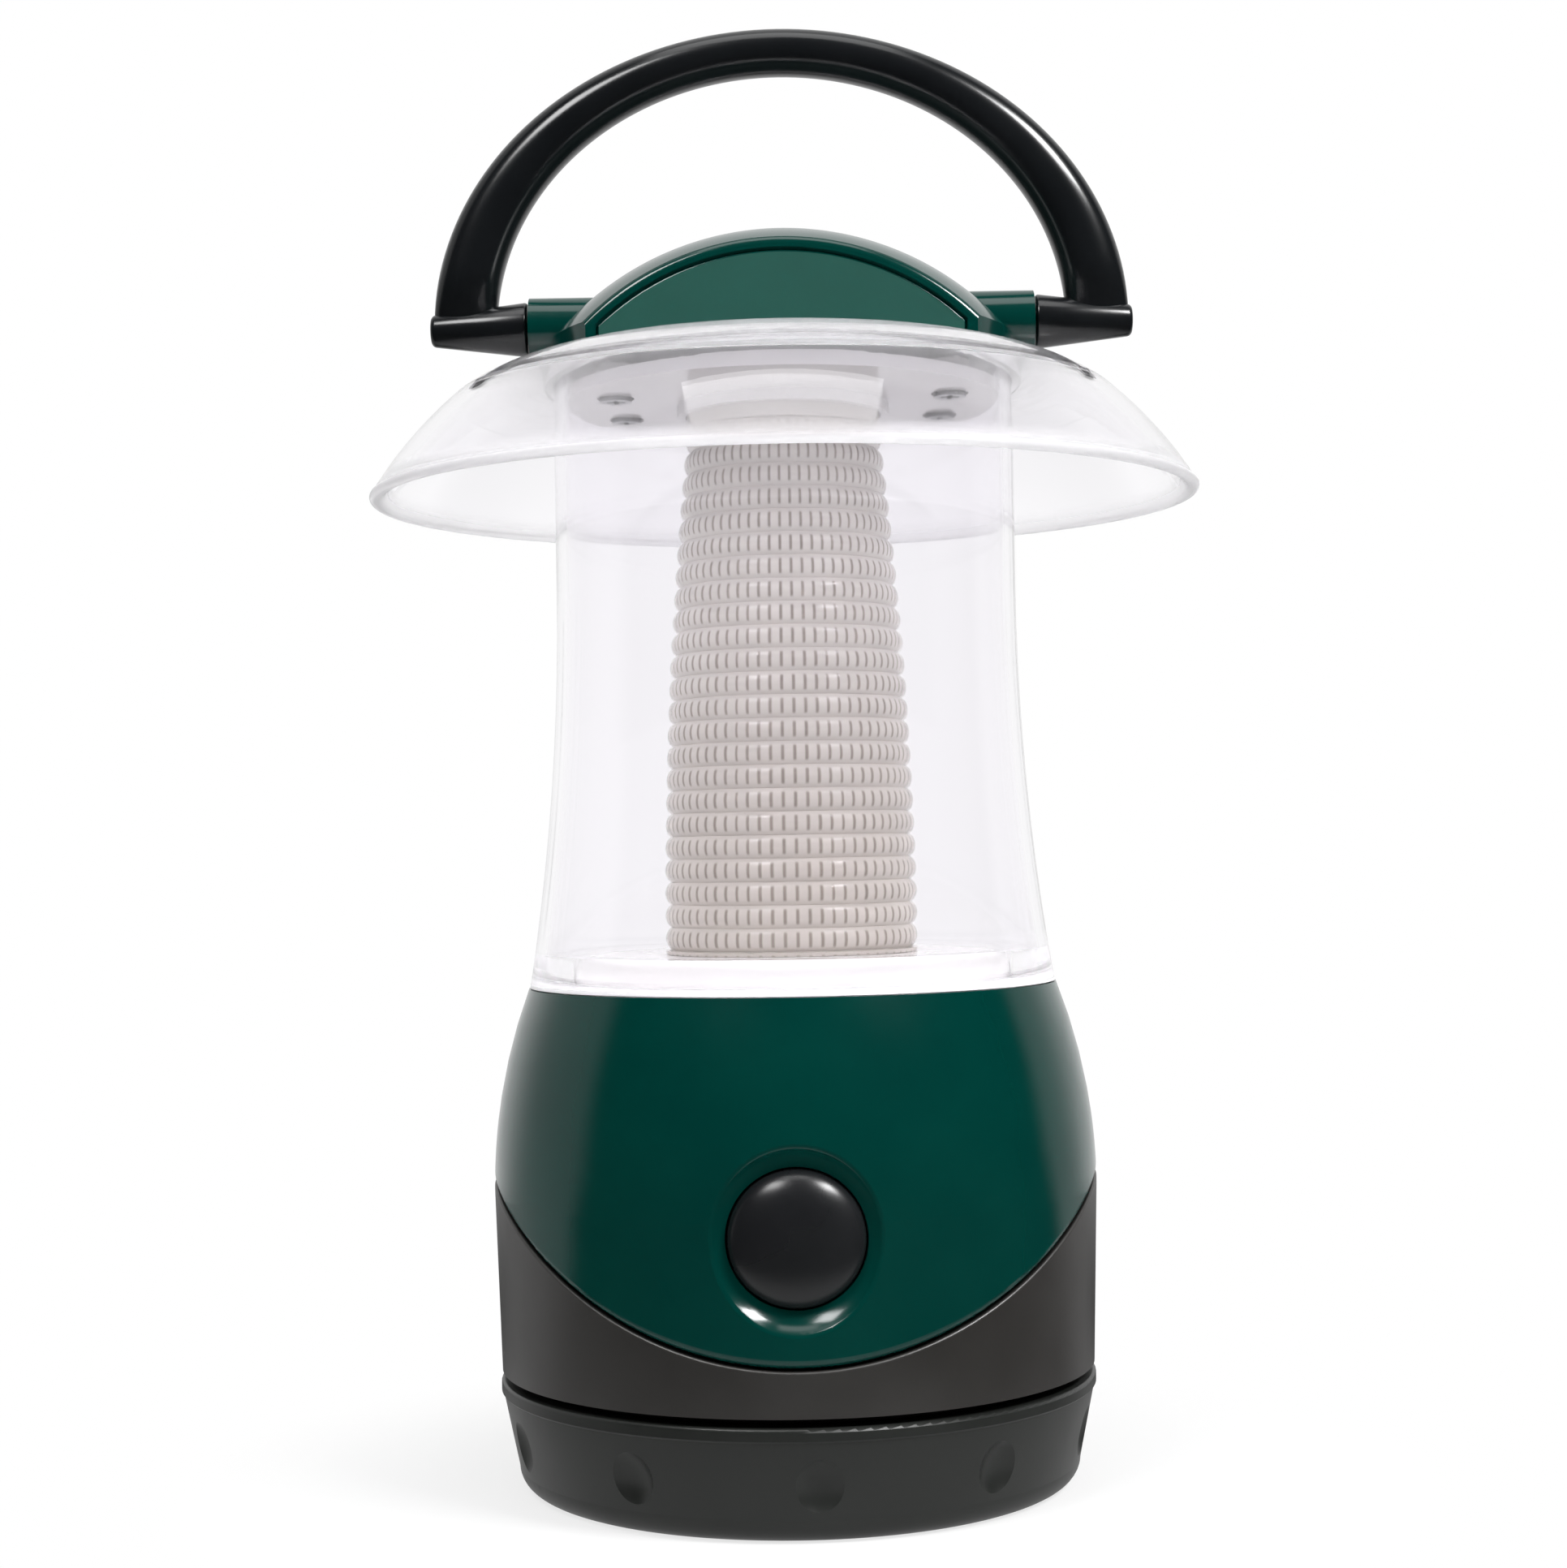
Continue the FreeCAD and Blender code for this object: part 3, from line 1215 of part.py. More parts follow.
save("reflector_screws", reflector_screws())
save("diffuser", diffuser())
save("globe", globe())
save("upper_reflector", upper_reflector())
save("shade", shade())
save("top_cap", top_cap())
save("cap_screws", cap_screws())
save("handle", handle())
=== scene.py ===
import bmesh
import bpy
import json
import math
from mathutils import Matrix, Vector


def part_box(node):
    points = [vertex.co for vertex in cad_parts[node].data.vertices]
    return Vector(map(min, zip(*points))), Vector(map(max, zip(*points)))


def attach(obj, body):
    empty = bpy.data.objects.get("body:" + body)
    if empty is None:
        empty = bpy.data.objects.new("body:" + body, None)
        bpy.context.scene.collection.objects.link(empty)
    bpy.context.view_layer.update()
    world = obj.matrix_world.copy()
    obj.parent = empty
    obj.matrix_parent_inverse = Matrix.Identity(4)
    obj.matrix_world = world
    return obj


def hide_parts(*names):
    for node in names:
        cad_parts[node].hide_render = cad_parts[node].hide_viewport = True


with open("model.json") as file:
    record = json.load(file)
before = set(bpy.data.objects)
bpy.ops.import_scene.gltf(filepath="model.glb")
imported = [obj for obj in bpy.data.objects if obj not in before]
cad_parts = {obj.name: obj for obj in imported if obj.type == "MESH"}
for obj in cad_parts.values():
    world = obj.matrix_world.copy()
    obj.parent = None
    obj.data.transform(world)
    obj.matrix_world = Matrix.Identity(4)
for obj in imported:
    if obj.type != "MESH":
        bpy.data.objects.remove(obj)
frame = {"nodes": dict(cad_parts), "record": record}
bpy.context.view_layer.update()

# Sizes of shapes are in millimetres, meshes and materials in metres
MM = 0.001
TAU = 2 * math.pi


def low(node):
    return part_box(node)[0] / MM


def high(node):
    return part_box(node)[1] / MM


# Photograph frame and its camera, in pixels and metres
PHOTO_W = 1931
PHOTO_H = 1932
FOCAL_PX = 3344
EYE_PX = (973.8, 1042)
EYE_DISTANCE = 0.4558
EYE_HEIGHT = 0.1056
ROLL_DEG = -0.95
SENSOR = 36.0
CLIP_START = 0.01

# Heights where the globe and the diffuser sit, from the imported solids
GLOBE_GAP = 0.2
GLOBE_FOOT = high("upper_housing").z + GLOBE_GAP
DIFF_GAP = 0.05
DIFF_FOOT = high("reflector_plate").z + DIFF_GAP
DIFF_TOP = high("diffuser").z

# Diffuser
DIFF_R = 21.1
DIFF_TOP_R = 16.1
DIFF_WALL = 1.7
DIFF_COLLAR_H = 4.0
DIFF_COLLAR_STEP = 0.1
DIFF_FOOT_H = 0.8
DIFF_FOOT_STEP = 0.2
DIFF_TONGUE_R = 18.7
DIFF_TONGUE_T = 1.5
DIFF_TONGUE_IN = DIFF_TONGUE_R - DIFF_TONGUE_T
DIFF_INNER_ROWS = 24
DIFF_SHARP_DEG = 50
RIB_COUNT = 23
RIB_DEPTH = 0.7
RIB_STEPS = 8
RIB_RELIEF = 0.8
RIB_FULLNESS = 0.7
FLUTES = 66
FLUTE_DEPTH = 0.2
FLUTE_STEPS = 6
DIFF_RIB_FOOT = DIFF_FOOT + DIFF_FOOT_H
DIFF_RIB_TOP = DIFF_TOP - DIFF_COLLAR_H
RIB_PITCH = (DIFF_RIB_TOP - DIFF_RIB_FOOT) / RIB_COUNT

# Mesh helpers

WELD = 1e-7
SHARP_DEG = 40
BEND_SHARE = 0.49


def bend_points(corner, before, after, bend, steps):
    # Arc that rounds one corner between the sides that lead to its two neighbours
    a, b = before.normalized(), after.normalized()
    half = a.angle(b) / 2
    reach = min(bend / math.tan(half), BEND_SHARE * before.length, BEND_SHARE * after.length)
    centre = corner + (a + b).normalized() * (reach / math.cos(half))
    start = corner + a * reach - centre
    end = corner + b * reach - centre
    first = math.atan2(start.y, start.x)
    turn = math.atan2(end.y, end.x) - first
    turn = (turn + math.pi) % TAU - math.pi
    points = []
    for k in range(steps + 1):
        angle = first + turn * k / steps
        points.append((centre.x + start.length * math.cos(angle), centre.y + start.length * math.sin(angle)))
    return points


def rounded(corners, steps):
    # Closed outline through corners (along, out, bend radius)
    points = []
    for i, (along, out, bend) in enumerate(corners):
        if bend == 0:
            points.append((along, out))
            continue
        corner = Vector((along, out))
        before = Vector(corners[i - 1][:2]) - corner
        after = Vector(corners[(i + 1) % len(corners)][:2]) - corner
        points += bend_points(corner, before, after, bend, steps)
    return points


def piece_from(name, verts, faces, sharp_deg=SHARP_DEG):
    mesh = bpy.data.meshes.new(name)
    mesh.from_pydata([Vector(v) * MM for v in verts], [], faces)
    work = bmesh.new()
    work.from_mesh(mesh)
    bmesh.ops.remove_doubles(work, verts=work.verts, dist=WELD)
    bmesh.ops.recalc_face_normals(work, faces=work.faces)
    work.to_mesh(mesh)
    work.free()
    mesh.shade_smooth()
    mesh.set_sharp_from_angle(angle=math.radians(sharp_deg))
    piece = bpy.data.objects.new(name, mesh)
    bpy.context.scene.collection.objects.link(piece)
    return piece


def grid_faces(rows, columns, wrap_rows):
    # Quads of a grid whose columns run round and close
    faces = []
    for j in range(rows if wrap_rows else rows - 1):
        here = j * columns
        above = (j + 1) % rows * columns
        for i in range(columns):
            n = (i + 1) % columns
            faces.append((here + i, here + n, above + n, above + i))
    return faces


def dress(piece, material, body, slot, *nodes):
    piece.data.materials.clear()
    piece.data.materials.append(material)
    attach(piece, body)
    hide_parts(*nodes)
    return piece


# Material helpers

NOISE_LOW = 0.3
NOISE_HIGH = 0.7


def srgb(code):
    # Linear colour from a hex code
    parts = [int(code[i:i + 2], 16) / 255 for i in (0, 2, 4)]
    return [c / 12.92 if c <= 0.04045 else ((c + 0.055) / 1.055) ** 2.4 for c in parts] + [1.0]


def new_material(name):
    material = bpy.data.materials.new(name)
    material.use_nodes = True
    tree = material.node_tree
    shader = tree.nodes["Principled BSDF"]
    coords = tree.nodes.new("ShaderNodeTexCoord")
    return material, tree, shader, coords


def add_noise(tree, coords, scale, detail):
    noise = tree.nodes.new("ShaderNodeTexNoise")
    noise.inputs["Scale"].default_value = scale
    noise.inputs["Detail"].default_value = detail
    tree.links.new(coords.outputs["Object"], noise.inputs["Vector"])
    return noise


def add_polish(tree, noise, rough, spread):
    # Roughness that strays from its mean by a share of it
    polish = tree.nodes.new("ShaderNodeMapRange")
    polish.inputs["From Min"].default_value = NOISE_LOW
    polish.inputs["From Max"].default_value = NOISE_HIGH
    polish.inputs["To Min"].default_value = rough * (1 - spread)
    polish.inputs["To Max"].default_value = rough * (1 + spread)
    tree.links.new(noise.outputs["Fac"], polish.inputs["Value"])
    return polish.outputs["Result"]


def add_tint(tree, noise, dark, light):
    ramp = tree.nodes.new("ShaderNodeValToRGB")
    ramp.color_ramp.elements[0].position = NOISE_LOW
    ramp.color_ramp.elements[1].position = NOISE_HIGH
    ramp.color_ramp.elements[0].color = srgb(dark)
    ramp.color_ramp.elements[1].color = srgb(light)
    tree.links.new(noise.outputs["Fac"], ramp.inputs["Fac"])
    return ramp.outputs["Color"]


def add_bump(tree, shader, source, strength, distance):
    bump = tree.nodes.new("ShaderNodeBump")
    bump.inputs["Strength"].default_value = strength
    bump.inputs["Distance"].default_value = distance * MM
    tree.links.new(source, bump.inputs["Height"])
    tree.links.new(bump.outputs["Normal"], shader.inputs["Normal"])


def split_xyz(tree, vector):
    split = tree.nodes.new("ShaderNodeSeparateXYZ")
    tree.links.new(vector, split.inputs[0])
    return split.outputs


def length_of(tree, vector):
    length = tree.nodes.new("ShaderNodeVectorMath")
    length.operation = "LENGTH"
    tree.links.new(vector, length.inputs[0])
    return length.outputs["Value"]


def maths(tree, operation, a, b):
    node = tree.nodes.new("ShaderNodeMath")
    node.operation = operation
    for socket, value in zip(node.inputs, (a, b)):
        if isinstance(value, (int, float)):
            socket.default_value = value
        else:
            tree.links.new(value, socket)
    return node.outputs[0]


def rising(tree, value, start, end):
    # 0 up to the start, 1 from the end on
    step = tree.nodes.new("ShaderNodeMapRange")
    step.interpolation_type = "SMOOTHSTEP"
    step.inputs["From Min"].default_value = start
    step.inputs["From Max"].default_value = end
    tree.links.new(value, step.inputs["Value"])
    return step.outputs["Result"]


def falling(tree, value, start, end):
    # 1 up to the start, 0 from the end on
    return rising(tree, maths(tree, "MULTIPLY", value, -1), -end, -start)


def blend_value(tree, factor, a, b):
    # a where the factor is 0, b where it is 1
    gap = maths(tree, "SUBTRACT", b, a)
    return maths(tree, "ADD", maths(tree, "MULTIPLY", gap, factor), a)


def blend_colour(tree, factor, a, b, mode="MIX"):
    mix = tree.nodes.new("ShaderNodeMix")
    mix.data_type = "RGBA"
    mix.blend_type = mode
    tree.links.new(factor, mix.inputs["Factor"])
    for socket, value in ((mix.inputs["A"], a), (mix.inputs["B"], b)):
        if isinstance(value, list):
            socket.default_value = value
        else:
            tree.links.new(value, socket)
    return mix.outputs["Result"]


# Materials: noise scales and details, bump strengths, and the share by which polish strays

CLOUD = (45, 3)
GRAIN_DETAIL = 2
GRAIN_STRENGTH = 0.3
PLASTIC_SPREAD = 0.15


def plastic(name, dark, light, rough, grain, grain_depth, specular=0.5):
    # Moulded plastic: faint mottling, uneven polish and a fine grain
    material, tree, shader, coords = new_material(name)
    cloud = add_noise(tree, coords, *CLOUD)
    fine = add_noise(tree, coords, grain, GRAIN_DETAIL)
    tree.links.new(add_tint(tree, cloud, dark, light), shader.inputs["Base Color"])
    tree.links.new(add_polish(tree, cloud, rough, PLASTIC_SPREAD), shader.inputs["Roughness"])
    shader.inputs["Specular IOR Level"].default_value = specular
    add_bump(tree, shader, fine.outputs["Fac"], GRAIN_STRENGTH, grain_depth)
    return material


PANEL_BACK = 0.0220
PANEL_FRONT = 0.0223
PANEL_FACING = 0.98
PANEL_GRAIN = 700
PANEL_GRAIN_STRENGTH = 0.25
PANEL_GRAIN_DEPTH = 0.01


def cap_plastic(name, dark, light, panel_dark, panel_light, rough, panel_rough):
    # Gloss green moulding whose sunk front and back panels are satin, painted a paler green as painted light
    # for the soft light they catch
    material, tree, shader, coords = new_material(name)
    reach = maths(tree, "ABSOLUTE", split_xyz(tree, coords.outputs["Object"])["Y"], 0)
    facing = maths(tree, "ABSOLUTE", split_xyz(tree, coords.outputs["Normal"])["Y"], 0)
    flat = maths(tree, "GREATER_THAN", facing, PANEL_FACING)
    sunk = maths(tree, "LESS_THAN", reach, PANEL_FRONT)
    raised = maths(tree, "GREATER_THAN", reach, PANEL_BACK)
    panel = maths(tree, "MULTIPLY", flat, maths(tree, "MULTIPLY", sunk, raised))
    cloud = add_noise(tree, coords, *CLOUD)
    gloss = add_tint(tree, cloud, dark, light)
    # Painted light: the panels' paler green stands in for the extra soft light on them
    painted_panel_light = add_tint(tree, cloud, panel_dark, panel_light)
    tree.links.new(blend_colour(tree, panel, gloss, painted_panel_light), shader.inputs["Base Color"])
    shine = add_polish(tree, cloud, rough, PLASTIC_SPREAD)
    tree.links.new(blend_value(tree, panel, shine, panel_rough), shader.inputs["Roughness"])
    fine = add_noise(tree, coords, PANEL_GRAIN, GRAIN_DETAIL)
    relief = maths(tree, "MULTIPLY", fine.outputs["Fac"], panel)
    add_bump(tree, shader, relief, PANEL_GRAIN_STRENGTH, PANEL_GRAIN_DEPTH)
    return material


FLOW = (40, 1)
FLOW_STRENGTH = 0.2
CLEAR_IOR = 1.49
CLEAR_SPREAD = 0.5


def clear_material(name, tint):
    # Start of every clear moulding, with the noise of slow flow waves
    material, tree, shader, coords = new_material(name)
    shader.inputs["Base Color"].default_value = srgb(tint)
    shader.inputs["IOR"].default_value = CLEAR_IOR
    return material, tree, shader, coords, add_noise(tree, coords, *FLOW)


def clear_plastic(name, tint, rough, wave):
    material, tree, shader, coords, flow = clear_material(name, tint)
    shader.inputs["Transmission Weight"].default_value = 1.0
    tree.links.new(add_polish(tree, flow, rough, CLEAR_SPREAD), shader.inputs["Roughness"])
    add_bump(tree, shader, flow.outputs["Fac"], FLOW_STRENGTH, wave)
    return material


FOOT_FROST = 0.0009
FOOT_CLEARNESS = 0.15
FOOT_DULLNESS = 0.5


def globe_plastic(name, tint, rough, wave):
    # Clear tube with a frosted underside where it sits in the body
    material, tree, shader, coords, flow = clear_material(name, tint)
    height = split_xyz(tree, coords.outputs["Object"])["Z"]
    foot = falling(tree, height, GLOBE_FOOT * MM, GLOBE_FOOT * MM + FOOT_FROST)
    tree.links.new(blend_value(tree, foot, 1.0, FOOT_CLEARNESS), shader.inputs["Transmission Weight"])
    even = add_polish(tree, flow, rough, CLEAR_SPREAD)
    dull = maths(tree, "MULTIPLY", foot, FOOT_DULLNESS)
    tree.links.new(maths(tree, "ADD", even, dull), shader.inputs["Roughness"])
    add_bump(tree, shader, flow.outputs["Fac"], FLOW_STRENGTH, wave)
    return material


CROWN_IN = 0.040
CROWN_OUT = 0.056
CROWN_HAZE = 0.22
CROWN_DULLNESS = 0.16
RIM_FROST = 0.0042
RIM_HAZE = 0.2
RIM_DULLNESS = 0.35
RINGS = (1, 3)
RINGS_PER_METRE = 900
SHADE_FLOW = 0.5
SHADE_STRENGTH = 0.35
SHADE_RELIEF = 0.15


def crown_and_lip(tree, crown, lip, crown_share, lip_share):
    on_crown = maths(tree, "MULTIPLY", crown, crown_share)
    return maths(tree, "ADD", on_crown, maths(tree, "MULTIPLY", lip, lip_share))


def shade_plastic(name, tint, rough):
    # Clear brim with fine turned rings towards its crown and a frosted lip
    material, tree, shader, coords, flow = clear_material(name, tint)
    spot = split_xyz(tree, coords.outputs["Object"])
    flat = tree.nodes.new("ShaderNodeCombineXYZ")
    tree.links.new(spot["X"], flat.inputs["X"])
    tree.links.new(spot["Y"], flat.inputs["Y"])
    radius = length_of(tree, flat.outputs[0])
    crown = falling(tree, radius, CROWN_IN, CROWN_OUT)
    lip_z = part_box("shade")[0].z
    lip = falling(tree, spot["Z"], lip_z, lip_z + RIM_FROST)
    rings = add_noise(tree, coords, *RINGS)
    rings.noise_dimensions = "1D"
    tree.links.new(maths(tree, "MULTIPLY", radius, RINGS_PER_METRE), rings.inputs["W"])
    haze = crown_and_lip(tree, crown, lip, CROWN_HAZE, RIM_HAZE)
    tree.links.new(maths(tree, "SUBTRACT", 1, haze), shader.inputs["Transmission Weight"])
    even = add_polish(tree, flow, rough, CLEAR_SPREAD)
    dull = crown_and_lip(tree, crown, lip, CROWN_DULLNESS, RIM_DULLNESS)
    tree.links.new(maths(tree, "ADD", even, dull), shader.inputs["Roughness"])
    relief = maths(tree, "MULTIPLY", rings.outputs["Fac"], crown)
    relief = maths(tree, "ADD", relief, maths(tree, "MULTIPLY", flow.outputs["Fac"], SHADE_FLOW))
    add_bump(tree, shader, relief, SHADE_STRENGTH, SHADE_RELIEF)
    return material


METAL_CLOUD = (200, 3)
METAL_SPREAD = 0.2


def metal(name, dark, light, rough):
    material, tree, shader, coords = new_material(name)
    cloud = add_noise(tree, coords, *METAL_CLOUD)
    shader.inputs["Metallic"].default_value = 1.0
    tree.links.new(add_tint(tree, cloud, dark, light), shader.inputs["Base Color"])
    tree.links.new(add_polish(tree, cloud, rough, METAL_SPREAD), shader.inputs["Roughness"])
    return material


# Places of the painted shade dashes across a rib, from the valley below it, and across a flute, from its
# line: each is 1 wide
HALF = 0.5
DASH_RIB = (0.1, 0.25)
DASH_FLUTE = (0.04, 0.22)
DASH_SHARE = 0.8
MILK_CLOUD = (60, 2)
MILK_SPREAD = 0.2


def painted_flute_shade(tree, spot):
    # Painted shade: short upright dark dashes across each rib, one for each flute
    turn = maths(tree, "ARCTAN2", spot["Y"], spot["X"])
    flute = maths(tree, "PINGPONG", maths(tree, "MULTIPLY", turn, FLUTES / TAU), HALF)
    rise = maths(tree, "SUBTRACT", spot["Z"], DIFF_RIB_FOOT * MM)
    rib = maths(tree, "PINGPONG", maths(tree, "DIVIDE", rise, RIB_PITCH * MM), HALF)
    below = maths(tree, "LESS_THAN", spot["Z"], DIFF_RIB_TOP * MM)
    dash = maths(tree, "MULTIPLY", rising(tree, rib, *DASH_RIB), DASH_SHARE)
    dash = maths(tree, "MULTIPLY", dash, maths(tree, "SUBTRACT", 1, rising(tree, flute, *DASH_FLUTE)))
    return maths(tree, "MULTIPLY", dash, below)


def diffuser_plastic(name, dark, light, painted_dash_shade, painted_foot_shade, rough, share):
    # Milky warm plastic, with painted shade in dark dashes along its flutes and painted shade that darkens
    # it towards its foot
    material, tree, shader, coords = new_material(name)
    spot = split_xyz(tree, coords.outputs["Object"])
    cloud = add_noise(tree, coords, *MILK_CLOUD)
    tint = blend_colour(tree, painted_flute_shade(tree, spot), add_tint(tree, cloud, dark, light), srgb(painted_dash_shade))
    # Painted shade: the colour is multiplied darker towards the foot, to even out the light that reaches the
    # foot more than the top
    lift = rising(tree, spot["Z"], DIFF_FOOT * MM, DIFF_TOP * MM)
    tint = blend_colour(tree, maths(tree, "SUBTRACT", 1, lift), tint, srgb(painted_foot_shade), "MULTIPLY")
    tree.links.new(tint, shader.inputs["Base Color"])
    tree.links.new(add_polish(tree, cloud, rough, MILK_SPREAD), shader.inputs["Roughness"])
    shader.inputs["Transmission Weight"].default_value = share
    shader.inputs["IOR"].default_value = CLEAR_IOR
    return material


looks = {
    "green_plastic": plastic("green_plastic", "00302B", "00352F", 0.15, 60, 0.004),
    "cap_plastic": cap_plastic("cap_plastic", "00302B", "00352F", "02463C", "064C42", 0.16, 0.5),
    "grey_plastic": plastic("grey_plastic", "272523", "2C2A28", 0.4, 1400, 0.02, 0.9),
    "base_plastic": plastic("base_plastic", "1C1E1C", "212321", 0.38, 1400, 0.02),
    "black_plastic": plastic("black_plastic", "0E1012", "131517", 0.2, 60, 0.004),
    "button_plastic": plastic("button_plastic", "17181A", "1D1E20", 0.29, 1600, 0.012),
    "inner_plastic": plastic("inner_plastic", "28282A", "303032", 0.5, 900, 0.02),
    "white_plastic": plastic("white_plastic", "E6E4E4", "EAE9E9", 0.1, 60, 0.004),
    "seal_rubber": plastic("seal_rubber", "060606", "0A0A0A", 0.7, 900, 0.03),
    "wire_cover": plastic("wire_cover", "8A1512", "931A16", 0.4, 900, 0.01),
    "board": plastic("board", "D8D8D2", "E0E0DA", 0.4, 900, 0.01),
    "globe_plastic": globe_plastic("globe_plastic", "FDFCFE", 0.03, 0.05),
    "shade_plastic": shade_plastic("shade_plastic", "FDFCFE", 0.03),
    "lamp_lens": clear_plastic("lamp_lens", "F4F4EA", 0.1, 0.02),
    # A0948C is the painted shade in the flute dashes, D4D0CC the painted shade that darkens the foot
    "diffuser_plastic": diffuser_plastic(
        "diffuser_plastic", "FBF6F3", "FFFBF8", "A0948C", "D4D0CC", 0.14, 0.45
    ),
    "spring_steel": metal("spring_steel", "9A9A9C", "B4B4B6", 0.3),
    "contact_steel": metal("contact_steel", "B9B6AE", "CFCCC4", 0.25),
    "screw_steel": metal("screw_steel", "8E8E90", "A8A8AA", 0.3),
    "cell_can": metal("cell_can", "8C8E92", "9A9CA0", 0.35),
}
slot_of = {s["node"]: s["material_slot"] for s in frame["record"]["subparts"]}
own_look = {"shade": "shade_plastic", "globe": "globe_plastic", "top_cap": "cap_plastic"}
for node_name, node in frame["nodes"].items():
    node.data.materials.clear()
    node.data.materials.append(looks[own_look.get(node_name, slot_of[node_name])])


# Handle

PIVOT_R = 4.55
PIVOT_ROUND = 0.5
PIVOT_TIP_R = 2.6
PIVOT_TIP_OUT = 0.5
PIVOT_TIP_ROUND = 0.9
PIVOT_START = 42.5
PIN_R = 2.4
PIN_ROUND = 0.3
PIN_START = 33.5
PIVOT_Z = low("handle").z + PIVOT_R
ARCH_X = high("handle").x - PIVOT_TIP_OUT
ARCH_Z = high("handle").z - PIVOT_Z
ARCH_DEPTH = high("handle").y
ARCH_LEG_W = 10.6
ARCH_TOP_T = 7.6
ARCH_SQUARE = 2.2
ARCH_COLUMNS = 48
ARCH_STEPS = 96
ARCH_END_STEPS = 8
BARREL_COLUMNS = 64
BARREL_BEND_STEPS = 4
HANDLE_SHARP_DEG = 35
PINCH_H = 9.0
PINCH_SHARE = 0.72


def barrel_r(x):
    share = (abs(x) - PIVOT_START) / (ARCH_X + PIVOT_TIP_OUT - PIVOT_START)
    return PIVOT_R + (PIVOT_TIP_R - PIVOT_R) * share


def leg_depth(x, rise):
    # Half the bail's depth, pinched towards the barrel that carries the leg
    share = min(max(rise / PINCH_H, 0), 1)
    share = share * share * (3 - 2 * share)
    foot = PINCH_SHARE * barrel_r(x)
    return foot + (ARCH_DEPTH - foot) * share


def squared(value):
    return math.copysign(abs(value) ** (2 / ARCH_SQUARE), value)


def arch_ring(turn):
    # One section of the bail, a softly squared oval across the arch
    outer = Vector((ARCH_X * math.cos(turn), ARCH_Z * math.sin(turn)))
    inner = Vector(((ARCH_X - ARCH_LEG_W) * math.cos(turn), (ARCH_Z - ARCH_TOP_T) * math.sin(turn)))
    middle, half = (outer + inner) / 2, (outer - inner) / 2
    ring = []
    for k in range(ARCH_COLUMNS):
        angle = TAU * k / ARCH_COLUMNS
        spot = middle + half * squared(math.cos(angle))
        depth = leg_depth(spot.x, spot.y)
        ring.append(Vector((spot.x, depth * squared(math.sin(angle)), PIVOT_Z + spot.y)))
    return ring


def arch_end(ring):
    # Rows that close the leg inside its barrel
    rows = []
    for k in range(1, ARCH_END_STEPS + 1):
        lean = math.pi / 2 * k / ARCH_END_STEPS
        drop = PINCH_SHARE * math.sin(lean)
        rows.append([Vector((v.x, v.y * math.cos(lean), PIVOT_Z - barrel_r(v.x) * drop)) for v in ring])
    return rows


def barrel(side):
    # Tapered barrel and its pivot pin, turned about the pivot axis
    tip = ARCH_X + PIVOT_TIP_OUT
    corners = [(PIN_START, 0, 0), (PIN_START, PIN_R, PIN_ROUND), (PIVOT_START, PIN_R, 0)]
    corners += [(PIVOT_START, PIVOT_R, PIVOT_ROUND), (tip, PIVOT_TIP_R, PIVOT_TIP_ROUND), (tip, 0, 0)]
    outline = rounded(corners, BARREL_BEND_STEPS)
    verts = []
    for x, r in outline:
        for i in range(BARREL_COLUMNS):
            angle = TAU * i / BARREL_COLUMNS
            verts.append((side * x, r * math.cos(angle), PIVOT_Z + r * math.sin(angle)))
    return piece_from("barrel", verts, grid_faces(len(outline), BARREL_COLUMNS, True))


def join_pieces(base, others, sharp_deg):
    # One closed mesh from overlapping ones
    for other in others:
        joint = base.modifiers.new("join", "BOOLEAN")
        joint.operation = "UNION"
        joint.solver = "EXACT"
        joint.object = other
    graph = bpy.context.evaluated_depsgraph_get()
    mesh = bpy.data.meshes.new_from_object(base.evaluated_get(graph))
    base.modifiers.clear()
    base.data = mesh
    mesh.shade_smooth()
    mesh.set_sharp_from_angle(angle=math.radians(sharp_deg))
    for other in others:
        bpy.data.objects.remove(other)
    return base


def bail():
    rows = [arch_ring(math.pi * j / ARCH_STEPS) for j in range(ARCH_STEPS + 1)]
    rows = arch_end(rows[0])[::-1] + rows + arch_end(rows[-1])
    verts = [v for row in rows for v in row]
    arch = piece_from("handle", verts, grid_faces(len(rows), ARCH_COLUMNS, False))
    return join_pieces(arch, [barrel(-1), barrel(1)], HANDLE_SHARP_DEG)


# Push button

BUTTON_Z = (low("push_button").z + high("push_button").z) / 2
BUTTON_R = 10.5
BUTTON_FRONT = -low("push_button").y
BUTTON_BACK = -high("push_button").y
BUTTON_SKIN = 4.6
BUTTON_POST_R = 2.2
BUTTON_COLUMNS = 128
FLANGE_R = high("push_button").x
FLANGE_T = 1.4
CROWN_DROP = 4.1
CROWN_STEPS = 32


